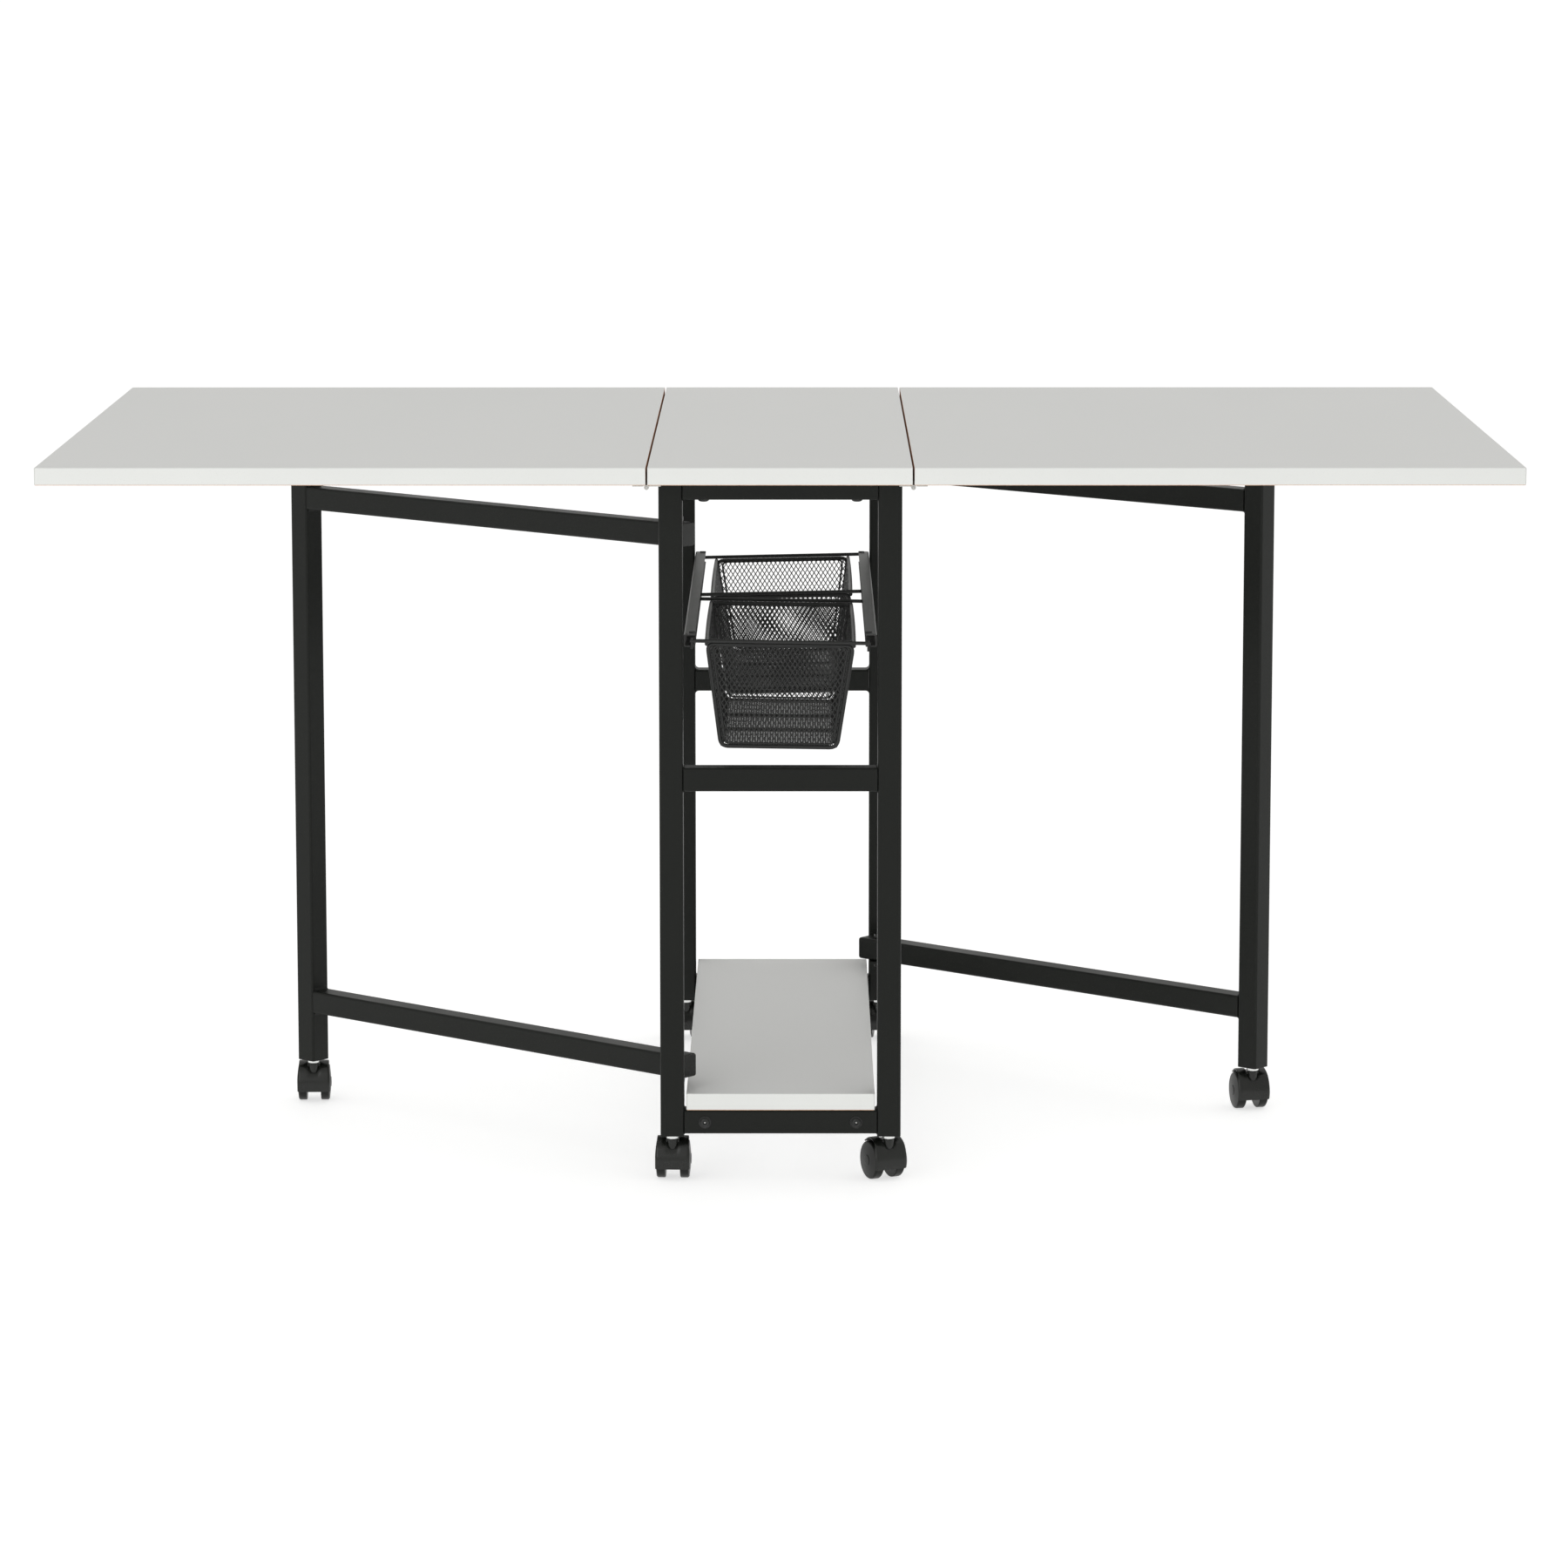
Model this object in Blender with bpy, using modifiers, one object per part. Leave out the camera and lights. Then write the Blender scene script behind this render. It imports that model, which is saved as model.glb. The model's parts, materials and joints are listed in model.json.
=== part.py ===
"""A drop-leaf sewing table on a narrow rolling tube frame.

A fixed centre panel carries a hinged leaf on each side. Two gates, each a square leg on two rails,
swing out on vertical pivot bolts to hold the leaves up. Two wire baskets slide out along channels,
and every leg stands on a twin-wheel caster. Metres, +Z up; the origin is on the floor under the
middle of the table top, X runs across the leaves and the front of the table faces -Y.
"""

import math

import bmesh
import bpy
from mathutils import Matrix, Vector

# Table top
TABLE_WIDTH = 1.524
TABLE_DEPTH = 0.914
TABLE_HEIGHT = 0.771
BOARD = 0.018
SEAM_FROM_FRAME = 0.0095
SEAM_GAP = 0.002
BOARD_EDGE = 0.0008

# Square tube frame
TUBE = 0.025
TUBE_WALL = 0.0012
TUBE_CORNER = 0.0026
FRAME_WIDTH = 0.254
FRAME_DEPTH = 0.775
FRONT_OVERHANG = 0.109
LEG_END = 0.0495
POST_TOP_DROP = 0.0018
BOTTOM_RAIL_DROP = 0.6935
SIDE_RAIL_INSET = 0.0095

# Shelf and baskets
SHELF_THICK = 0.018
SHELF_SIDE_GAP = 0.0025
SHELF_BACK_INSET = 0.005
RUNNER_DROP = 0.1874
RUNNER_WIDTH = 0.0125
RUNNER_HEIGHT = 0.0144
RUNNER_WALL = 0.0012
RUNNER_LAP = 0.007
WIRE_RADIUS = 0.002
WIRE_STACK = 0.0037
SLIDE_ROD_INSET = 0.0085
BASKET_HEIGHT = 0.1135
BASKET_WALL = 0.0016
BASKET_CORNER = 0.020
BASKET_SIDE_LEAN = 0.016
BASKET_END_LEAN = 0.012
BASKET_INSET = 0.006
BASKET_APART = 0.063
BASKET_TO_RUNNER = 0.0110
BASKET_TO_MID_RAIL = 0.0189

# Gates
GATE_SETBACK = 0.029
GATE_REACH = 0.544
GATE_TAIL = 0.0205
GATE_REST_DEGREES = 40.7
GATE_UPPER_DROP = 0.0731
GATE_LOWER_DROP = 0.6410
GATE_LEG_DROP = 0.0058
BRACKET_THICK = 0.003
BRACKET_FLANGE = 0.022
BRACKET_CLEARANCE = 0.001
PIVOT_RADIUS = 0.004
PIVOT_CLEARANCE = 0.0001
PIVOT_HEAD_RADIUS = 0.0065
PIVOT_HEAD = 0.0045

# Hinges
HINGE_SETBACK = 0.004
HINGE_PLATE = 0.0012
HINGE_PLATE_WIDTH = 0.0145
BARREL_RADIUS = 0.0026
HINGE_PIN_RADIUS = 0.0012
HINGE_PIN_CLEARANCE = 0.0002
KNUCKLES = 7
KNUCKLE_GAP = 0.0005

# Casters
WHEEL_RADIUS = 0.0205
WHEEL_OUTSIDE = 0.0190
WHEEL_INSIDE = 0.0078
WHEEL_ROUND = 0.0025
AXLE_RADIUS = 0.003
AXLE_CLEARANCE = 0.0002
CASTER_TRAIL = 0.014
FENDER_GAP = 0.0006
FENDER_WALL = 0.0013
FENDER_LIP = 0.008
HOOD_WEB = 0.0144
STEM_RADIUS = 0.004
STEM_COLLAR_RADIUS = 0.0066
STEM_DEPTH = 0.015
COLLAR_HEIGHT = 0.0036
PLUG_HEIGHT = 0.018
PLUG_EDGE = 0.0013
STEM_CLEARANCE = 0.0002
FENDER_START_DEGREES = 70

# Touching pieces keep this gap
GAP = 0.0003

# Sides of a round bar, of a hinge knuckle and of a wire
ROUND_STEPS = 16
FINE_STEPS = 12
WIRE_STEPS = 10

SIDES = (("left", -1), ("right", 1))

UNDERSIDE = TABLE_HEIGHT - BOARD
POST_TOP = UNDERSIDE - POST_TOP_DROP
SEAM_FROM_MIDDLE = FRAME_WIDTH / 2 + SEAM_FROM_FRAME
POST_X = (FRAME_WIDTH - TUBE) / 2
FRAME_FRONT = -TABLE_DEPTH / 2 + FRONT_OVERHANG
FRAME_BACK = FRAME_FRONT + FRAME_DEPTH
FRAME_MIDDLE = (FRAME_FRONT + FRAME_BACK) / 2
FRONT_POST_Y = FRAME_FRONT + TUBE / 2
BACK_POST_Y = FRAME_BACK - TUBE / 2
INNER_X = POST_X - TUBE / 2
SIDE_RAIL_X = INNER_X - SIDE_RAIL_INSET - TUBE / 2
BOTTOM_RAIL_TOP = TABLE_HEIGHT - BOTTOM_RAIL_DROP
SHELF_TOP = BOTTOM_RAIL_TOP + GAP + SHELF_THICK
RUNNER_TOP = TABLE_HEIGHT - RUNNER_DROP
SLIDE_ROD_Z = RUNNER_TOP - RUNNER_HEIGHT + RUNNER_WALL + GAP + WIRE_RADIUS
SLIDE_ROD_X = INNER_X - SLIDE_ROD_INSET
RIM_Z = SLIDE_ROD_Z + WIRE_STACK
MID_RAIL_TOP = RIM_Z - BASKET_HEIGHT - BASKET_TO_MID_RAIL
BASKET_LENGTH = (FRAME_DEPTH - BASKET_APART) / 2 - BASKET_INSET
BASKET_BOTTOM_LENGTH = BASKET_LENGTH - 2 * BASKET_END_LEAN
BASKET_TOP_WIDTH = 2 * (INNER_X - RUNNER_WIDTH - BASKET_TO_RUNNER)
BASKET_BOTTOM_WIDTH = BASKET_TOP_WIDTH - 2 * BASKET_SIDE_LEAN
HINGE_Z = UNDERSIDE - BARREL_RADIUS


# Scene, materials and shapes

def clear_scene():
    for old in list(bpy.data.objects):
        bpy.data.objects.remove(old, do_unlink=True)


def new_collection(name):
    made = bpy.data.collections.new(name)
    bpy.context.scene.collection.children.link(made)
    return made


def new_material(name, colour, roughness, metallic):
    made = bpy.data.materials.new(name)
    made.use_nodes = True
    shader = made.node_tree.nodes["Principled BSDF"]
    shader.inputs["Base Color"].default_value = (*colour, 1.0)
    shader.inputs["Roughness"].default_value = roughness
    shader.inputs["Metallic"].default_value = metallic
    made.diffuse_color = (*colour, 1.0)
    return made


def add_part(name, mesh, look, place=(0, 0, 0), turn=0.0, parent=None):
    """One named piece of the table, turned about Z and placed in its parent's space."""
    obj = bpy.data.objects.new(name, mesh)
    if not mesh.materials:
        mesh.materials.append(LOOKS[look])
    PARTS.objects.link(obj)
    obj.location = place
    obj.rotation_euler = (0, 0, turn)
    obj.parent = parent
    return obj


def add_pivot(name, place, turn=0.0, parent=None):
    """An empty on a joint's axis, which carries the pieces that move about it."""
    empty = bpy.data.objects.new(name, None)
    PARTS.objects.link(empty)
    empty.location = place
    empty.rotation_euler = (0, 0, turn)
    empty.parent = parent
    return empty


def mesh_from_bmesh(name, bm):
    bmesh.ops.recalc_face_normals(bm, faces=bm.faces)
    mesh = bpy.data.meshes.new(name)
    bm.to_mesh(mesh)
    bm.free()
    return mesh


def smooth(mesh, degrees=35):
    mesh.shade_smooth()
    mesh.set_sharp_from_angle(angle=math.radians(degrees))
    return mesh


def block(low, high, edge=0.0):
    """A box between two corners, its edges broken when edge is given."""
    low, high = Vector(low), Vector(high)
    bm = bmesh.new()
    bmesh.ops.create_cube(bm, size=1)
    bmesh.ops.scale(bm, vec=high - low, verts=bm.verts)
    bmesh.ops.translate(bm, vec=(low + high) / 2, verts=bm.verts)
    if edge:
        bmesh.ops.bevel(bm, geom=bm.edges[:], offset=edge, segments=2, profile=0.5,
                        affect="EDGES", clamp_overlap=True, material=-1)
    return mesh_from_bmesh("block", bm)


def rod(radius, start, end, steps=ROUND_STEPS):
    """A round bar between two points."""
    start, end = Vector(start), Vector(end)
    bm = bmesh.new()
    bmesh.ops.create_cone(bm, cap_ends=True, segments=steps, radius1=radius, radius2=radius,
                          depth=(end - start).length)
    turn = (end - start).to_track_quat("Z", "Y").to_matrix().to_4x4()
    bmesh.ops.transform(bm, matrix=Matrix.Translation((start + end) / 2) @ turn, verts=bm.verts)
    return smooth(mesh_from_bmesh("rod", bm))


def arc(centre, radius, first, last, steps):
    """Points on an arc, from one angle to another in degrees."""
    angles = [math.radians(first + (last - first) * i / steps) for i in range(steps + 1)]
    return [(centre[0] + radius * math.cos(a), centre[1] + radius * math.sin(a)) for a in angles]


def rounded_square(side, corner, steps=3):
    reach = side / 2 - corner
    points = []
    for quarter, (sx, sy) in enumerate(((1, 1), (-1, 1), (-1, -1), (1, -1))):
        points += arc((sx * reach, sy * reach), corner, 90 * quarter, 90 * quarter + 90, steps)
    return points


def extruded(outlines, length, name="profile"):
    """A prism along Z, centred on its length, from an outline and the holes inside it."""
    curve = bpy.data.curves.new(name, "CURVE")
    curve.dimensions = "2D"
    curve.fill_mode = "BOTH"
    curve.extrude = length / 2
    for outline in outlines:
        spline = curve.splines.new("POLY")
        spline.points.add(len(outline) - 1)
        for point, (x, y) in zip(spline.points, outline):
            point.co = (x, y, 0, 1)
        spline.use_cyclic_u = True
    guide = bpy.data.objects.new(name, curve)
    bpy.context.scene.collection.objects.link(guide)
    solid = bpy.data.meshes.new_from_object(guide.evaluated_get(bpy.context.evaluated_depsgraph_get()))
    bpy.data.objects.remove(guide)
    bm = bmesh.new()
    bm.from_mesh(solid)
    bmesh.ops.remove_doubles(bm, verts=bm.verts, dist=0.00001)
    bpy.data.meshes.remove(solid)
    return smooth(mesh_from_bmesh(name, bm))


def turned(profile, steps=ROUND_STEPS, name="turned"):
    """A solid of revolution about Z from (radius, height) points, top to bottom."""
    mesh = bpy.data.meshes.new(name)
    mesh.from_pydata([(r, 0, z) for r, z in profile], [(i, i + 1) for i in range(len(profile) - 1)], [])
    guide = bpy.data.objects.new(name, mesh)
    bpy.context.scene.collection.objects.link(guide)
    screw = guide.modifiers.new("Screw", "SCREW")
    screw.steps = steps
    screw.render_steps = steps
    screw.use_merge_vertices = True
    screw.merge_threshold = 0.00001
    made = bpy.data.meshes.new_from_object(guide.evaluated_get(bpy.context.evaluated_depsgraph_get()))
    bpy.data.objects.remove(guide)
    bm = bmesh.new()
    bm.from_mesh(made)
    bmesh.ops.remove_doubles(bm, verts=bm.verts, dist=0.00001)
    return smooth(mesh_from_bmesh(name, bm))


def place_mesh(mesh, matrix):
    mesh.transform(matrix)
    return mesh


def add_helper(name, mesh):
    """A cutter or a shape to join, which isn't a piece of the table itself."""
    obj = bpy.data.objects.new(name, mesh)
    CUTTERS.objects.link(obj)
    obj.hide_render = True
    obj.display_type = "WIRE"
    return obj


def combined(base, joins=(), cuts=(), name="combined"):
    """The base mesh with some meshes joined to it and others cut from it."""
    obj = add_helper(name, base)
    helpers = [(mesh, "UNION") for mesh in joins] + [(mesh, "DIFFERENCE") for mesh in cuts]
    others = []
    for index, (mesh, operation) in enumerate(helpers):
        other = add_helper(f"{name}_{index}", mesh)
        others.append(other)
        step = obj.modifiers.new(operation, "BOOLEAN")
        step.operation = operation
        step.solver = "EXACT"
        step.object = other
    made = bpy.data.meshes.new_from_object(obj.evaluated_get(bpy.context.evaluated_depsgraph_get()))
    for used in (obj, *others):
        bpy.data.objects.remove(used)
    return smooth(made)


ALONG_X = Matrix.Rotation(math.pi / 2, 4, "Y")
ALONG_Y = Matrix.Rotation(math.pi / 2, 4, "X")
UPRIGHT = Matrix(((0, 0, 1, 0), (1, 0, 0, 0), (0, 1, 0, 0), (0, 0, 0, 1)))


def tube_mesh(length):
    """Square tube along Z with a rounded outside and open ends."""
    inside = rounded_square(TUBE - 2 * TUBE_WALL, TUBE_CORNER - TUBE_WALL, 2)
    return extruded([rounded_square(TUBE, TUBE_CORNER), inside], length, "tube")


# Table top

def add_top():
    half = TABLE_DEPTH / 2
    centre_edge = SEAM_FROM_MIDDLE - SEAM_GAP / 2
    centre = block((-centre_edge, -half, UNDERSIDE), (centre_edge, half, TABLE_HEIGHT), BOARD_EDGE)
    add_part("centre_top", centre, "laminate")
    for side, sign in SIDES:
        pivot = add_pivot(f"{side}_leaf_pivot", (sign * SEAM_FROM_MIDDLE, 0, HINGE_Z))
        inner = SEAM_GAP / 2
        outer = TABLE_WIDTH / 2 - SEAM_FROM_MIDDLE
        xs = sorted((sign * inner, sign * outer))
        leaf = block((xs[0], -half, UNDERSIDE - HINGE_Z), (xs[1], half, TABLE_HEIGHT - HINGE_Z),
                     BOARD_EDGE)
        add_part(f"{side}_leaf", leaf, "laminate", parent=pivot)
        add_hinge(side, sign, pivot)


def hinge_plate(sign, first_knuckle):
    """One plate of a continuous hinge about its pin: a strip under the board and every other knuckle."""
    half = TABLE_DEPTH / 2 - HINGE_SETBACK
    top = BARREL_RADIUS - GAP
    near = BARREL_RADIUS + 2 * GAP
    xs = sorted((sign * near, sign * HINGE_PLATE_WIDTH))
    strip = block((xs[0], -half, top - HINGE_PLATE), (xs[1], half, top))
    pitch = 2 * half / KNUCKLES
    joins = []
    for index in range(first_knuckle, KNUCKLES, 2):
        start = -half + index * pitch + KNUCKLE_GAP / 2
        end = start + pitch - KNUCKLE_GAP
        joins.append(rod(BARREL_RADIUS, (0, start, 0), (0, end, 0), FINE_STEPS))
        webs = sorted((0, sign * (near + HINGE_PLATE)))
        joins.append(block((webs[0], start, top - HINGE_PLATE), (webs[1], end, top - GAP)))
    reach = TABLE_DEPTH
    bore = rod(HINGE_PIN_RADIUS + HINGE_PIN_CLEARANCE, (0, -reach, 0), (0, reach, 0), FINE_STEPS)
    return combined(strip, joins, [bore], "hinge_plate")


def add_hinge(side, sign, pivot):
    place = (sign * SEAM_FROM_MIDDLE, 0, HINGE_Z)
    half = TABLE_DEPTH / 2 - HINGE_SETBACK
    add_part(f"{side}_hinge_fixed_plate", hinge_plate(-sign, 0), "steel", place)
    add_part(f"{side}_hinge_leaf_plate", hinge_plate(sign, 1), "steel", parent=pivot)
    pin = rod(HINGE_PIN_RADIUS, (0, -half, 0), (0, half, 0), FINE_STEPS)
    add_part(f"{side}_hinge_pin", pin, "steel", place)


# Frame

def add_frame():
    post = tube_mesh(POST_TOP - LEG_END)
    for end, y in (("front", FRONT_POST_Y), ("back", BACK_POST_Y)):
        for side, sign in SIDES:
            add_part(f"{end}_{side}_post", post, "powder_coat",
                     (sign * POST_X, y, (POST_TOP + LEG_END) / 2))
    rail = place_mesh(tube_mesh(2 * (INNER_X - GAP)), ALONG_X)
    tops = {
        "top": POST_TOP,
        "mid": MID_RAIL_TOP,
        "bottom": BOTTOM_RAIL_TOP,
    }
    for end, y in (("front", FRONT_POST_Y), ("back", BACK_POST_Y)):
        for level, top in tops.items():
            add_part(f"{end}_{level}_rail", rail, "powder_coat", (0, y, top - TUBE / 2))
    inside = FRAME_DEPTH - 2 * TUBE - 2 * GAP
    side_rail = place_mesh(tube_mesh(inside), ALONG_Y)
    for side, sign in SIDES:
        for level in ("top", "bottom"):
            add_part(f"{side}_{level}_rail", side_rail, "powder_coat",
                     (sign * SIDE_RAIL_X, FRAME_MIDDLE, tops[level] - TUBE / 2))


def add_shelf():
    reach = INNER_X - SHELF_SIDE_GAP
    shelf = block((-reach, FRAME_FRONT + GAP, BOTTOM_RAIL_TOP + GAP),
                  (reach, FRAME_BACK - SHELF_BACK_INSET, SHELF_TOP), BOARD_EDGE)
    add_part("bottom_shelf", shelf, "laminate")


def runner_outline(sign):
    """A channel open towards the middle of the table, in X and Z."""
    outer = INNER_X - GAP
    points = [
        (outer - RUNNER_WIDTH, 0), (outer, 0), (outer, RUNNER_HEIGHT),
        (outer - RUNNER_WIDTH, RUNNER_HEIGHT), (outer - RUNNER_WIDTH, RUNNER_HEIGHT - RUNNER_WALL),
        (outer - RUNNER_WALL, RUNNER_HEIGHT - RUNNER_WALL), (outer - RUNNER_WALL, RUNNER_WALL),
        (outer - RUNNER_WIDTH, RUNNER_WALL),
    ]
    return [(sign * x, z) for x, z in points]


def add_runners():
    length = FRAME_DEPTH - 2 * TUBE + 2 * RUNNER_LAP
    for side, sign in SIDES:
        runner = place_mesh(extruded([runner_outline(sign)], length, "runner"), ALONG_Y)
        add_part(f"{side}_basket_runner", runner, "powder_coat",
                 (0, FRAME_MIDDLE, RUNNER_TOP - RUNNER_HEIGHT))


def basket_tray():
    """An open tray from its bottom's outline: the walls lean out and the lower edges are round."""
    bm = bmesh.new()
    bmesh.ops.create_cube(bm, size=1)
    for vert in bm.verts:
        upper = vert.co.z > 0
        width = BASKET_TOP_WIDTH if upper else BASKET_BOTTOM_WIDTH
        length = BASKET_LENGTH - WIRE_RADIUS if upper else BASKET_BOTTOM_LENGTH
        height = 0 if upper else -BASKET_HEIGHT
        vert.co = (math.copysign(width / 2, vert.co.x), math.copysign(length / 2, vert.co.y), height)
    bm.faces.ensure_lookup_table()
    lid = [face for face in bm.faces if all(vert.co.z > -BASKET_WALL for vert in face.verts)]
    bmesh.ops.delete(bm, geom=lid, context="FACES_ONLY")
    lower = [edge for edge in bm.edges
             if all(vert.co.z < -BASKET_WALL for vert in edge.verts)
             and abs(edge.verts[0].co.x - edge.verts[1].co.x) < BASKET_WALL]
    bmesh.ops.bevel(bm, geom=lower, offset=BASKET_CORNER, segments=5, profile=0.5,
                    affect="EDGES", clamp_overlap=True, material=-1)
    return mesh_from_bmesh("tray", bm)


def basket_mesh():
    """A tray hung on a wire rim, whose two long rods slide in the channels."""
    tray = basket_tray()
    guide = add_helper("tray_guide", tray)
    skin = guide.modifiers.new("Solidify", "SOLIDIFY")
    skin.thickness = BASKET_WALL
    skin.offset = -1
    shell = bpy.data.meshes.new_from_object(guide.evaluated_get(bpy.context.evaluated_depsgraph_get()))
    bpy.data.objects.remove(guide)
    half = BASKET_LENGTH / 2
    rods = []
    for sign in (-1, 1):
        reach = SLIDE_ROD_X + WIRE_RADIUS
        rods.append(rod(WIRE_RADIUS, (-reach, sign * half, 0), (reach, sign * half, 0), WIRE_STEPS))
        x, end = sign * SLIDE_ROD_X, half + WIRE_RADIUS
        rods.append(rod(WIRE_RADIUS, (x, -end, -WIRE_STACK), (x, end, -WIRE_STACK), WIRE_STEPS))
    return combined(shell, rods, name="basket")


def add_baskets():
    mesh = basket_mesh()
    for end, y in (("front", FRAME_FRONT + BASKET_INSET + BASKET_LENGTH / 2),
                   ("back", FRAME_BACK - BASKET_INSET - BASKET_LENGTH / 2)):
        add_part(f"{end}_basket", mesh, "powder_coat", (0, y, RIM_Z))


# Gates

def gate_rail_mesh(top):
    """A gate rail along +X from its tail, past the pivot at x = 0, to the leg's face."""
    start, end = -GATE_TAIL, GATE_REACH - TUBE / 2 - GAP
    rail = place_mesh(tube_mesh(end - start), Matrix.Translation(((start + end) / 2, 0, 0)) @ ALONG_X)
    hole = rod(PIVOT_RADIUS + PIVOT_CLEARANCE, (0, 0, -TUBE), (0, 0, TUBE))
    rail = combined(rail, cuts=[hole], name="gate_rail")
    return place_mesh(rail, Matrix.Translation((0, 0, top - TUBE / 2)))


def bracket_mesh(up):
    """An angle bracket: a flange on the post's face and a lug over the pivot at the origin."""
    lug_end = TUBE / 2
    wall = -GATE_SETBACK + GAP
    flange = BRACKET_FLANGE * up
    thick = BRACKET_THICK * up
    outline = [(wall, 0), (lug_end, 0), (lug_end, thick), (wall + BRACKET_THICK, thick),
               (wall + BRACKET_THICK, flange), (wall, flange)]
    angle = extruded([outline], TUBE, "bracket")
    angle.transform(UPRIGHT)
    hole = rod(PIVOT_RADIUS + PIVOT_CLEARANCE, (0, 0, -TUBE), (0, 0, TUBE))
    return combined(angle, cuts=[hole], name="bracket")


def pivot_bolt_mesh(up):
    """A bolt through the lug and the rail, its head on the lug and its nut on the rail's far side."""
    lug = BRACKET_THICK + GAP
    below = TUBE + BRACKET_CLEARANCE + GAP
    profile = [
        (0, lug + PIVOT_HEAD), (PIVOT_HEAD_RADIUS, lug + PIVOT_HEAD), (PIVOT_HEAD_RADIUS, lug),
        (PIVOT_RADIUS, lug), (PIVOT_RADIUS, -below), (PIVOT_HEAD_RADIUS, -below),
        (PIVOT_HEAD_RADIUS, -below - PIVOT_HEAD), (0, -below - PIVOT_HEAD),
    ]
    bolt = turned(profile, name="pivot_bolt")
    if up < 0:
        bolt.transform(Matrix.Rotation(math.pi, 4, "X"))
    return bolt


def add_gate(side, sign):
    """The left gate hangs behind the front post, the right one in front of the back post."""
    if sign < 0:
        pivot_y = FRONT_POST_Y + TUBE / 2 + GATE_SETBACK
    else:
        pivot_y = BACK_POST_Y - TUBE / 2 - GATE_SETBACK
    turn = math.radians((180 if sign < 0 else 0) - GATE_REST_DEGREES)
    pivot = add_pivot(f"{side}_gate_pivot", (sign * POST_X, pivot_y, 0), turn)
    upper, lower = TABLE_HEIGHT - GATE_UPPER_DROP, TABLE_HEIGHT - GATE_LOWER_DROP
    add_part(f"{side}_gate_upper_rail", gate_rail_mesh(upper), "powder_coat", parent=pivot)
    add_part(f"{side}_gate_lower_rail", gate_rail_mesh(lower), "powder_coat", parent=pivot)
    leg_top = UNDERSIDE - GAP - GATE_LEG_DROP
    add_part(f"{side}_gate_leg", tube_mesh(leg_top - LEG_END), "powder_coat",
             (GATE_REACH, 0, (leg_top + LEG_END) / 2), parent=pivot)
    levels = (
        ("upper", upper + BRACKET_CLEARANCE, 1),
        ("lower", lower - TUBE - BRACKET_CLEARANCE, -1),
    )
    for level, z, up in levels:
        bracket = bracket_mesh(up)
        if sign > 0:
            bracket.transform(Matrix.Rotation(math.pi, 4, "Z"))
        place = (sign * POST_X, pivot_y, z)
        add_part(f"{side}_{level}_pivot_bracket", bracket, "powder_coat", place)
        add_part(f"{side}_{level}_pivot_bolt", pivot_bolt_mesh(up), "steel", place)
    return pivot


# Casters

def hood_mesh():
    """Fender and web about the stem: the axle lies behind the stem by the trail."""
    axle = (CASTER_TRAIL, WHEEL_RADIUS)
    outer = WHEEL_RADIUS + FENDER_GAP + FENDER_WALL
    inner = WHEEL_RADIUS + FENDER_GAP
    lip = math.degrees(math.asin((WHEEL_RADIUS - FENDER_LIP) / outer))
    neck = HOOD_WEB / 2
    boss_top = LEG_END - GAP - COLLAR_HEIGHT - GAP
    turn_in = math.degrees(math.acos((CASTER_TRAIL - neck) / outer))
    web = arc(axle, outer, -lip, 180 - turn_in, 8)
    web += [(neck, boss_top), (-neck, boss_top)]
    web += arc(axle, outer, 180, 180 + lip, 3)
    bore = arc(axle, AXLE_RADIUS + AXLE_CLEARANCE, 0, 337.5, 15)
    body = extruded([web, bore], HOOD_WEB, "web")
    cover = arc(axle, outer, FENDER_START_DEGREES, 180 + lip, 9)
    cover += arc(axle, inner, 180 + lip, FENDER_START_DEGREES, 9)
    fender = extruded([cover], 2 * WHEEL_OUTSIDE, "fender")
    body.transform(UPRIGHT)
    fender.transform(UPRIGHT)
    hole = rod(STEM_RADIUS + STEM_CLEARANCE, (0, 0, boss_top - STEM_DEPTH - GAP), (0, 0, TABLE_HEIGHT))
    return combined(body, [fender], [hole], "hood")


def stem_mesh():
    """Plug in the leg's open end, the bright collar under it and the stem in the hood."""
    collar_top = LEG_END - GAP
    collar_low = collar_top - COLLAR_HEIGHT
    boss_top = collar_low - GAP
    profile = [
        (0, LEG_END + PLUG_HEIGHT / 2), (STEM_RADIUS, LEG_END + PLUG_HEIGHT / 2),
        (STEM_RADIUS, collar_top), (STEM_COLLAR_RADIUS, collar_top), (STEM_COLLAR_RADIUS, collar_low),
        (STEM_RADIUS, collar_low), (STEM_RADIUS, boss_top - STEM_DEPTH), (0, boss_top - STEM_DEPTH),
    ]
    side = TUBE / 2 - TUBE_WALL - GAP
    plug = block((-side, -side, LEG_END + GAP), (side, side, LEG_END + PLUG_HEIGHT), PLUG_EDGE)
    return combined(turned(profile, name="stem"), [plug], name="stem")


def wheels_mesh():
    """Two domed wheels on one axle, turned about it."""
    tread = WHEEL_OUTSIDE - WHEEL_ROUND
    half = [(0, WHEEL_OUTSIDE)] + arc((WHEEL_RADIUS - WHEEL_ROUND, tread), WHEEL_ROUND, 90, 0, 2)
    half += [(WHEEL_RADIUS, WHEEL_INSIDE), (AXLE_RADIUS, WHEEL_INSIDE)]
    profile = half + [(r, -z) for r, z in reversed(half)]
    return place_mesh(turned(profile, 24, "wheels"), ALONG_X)


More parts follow.
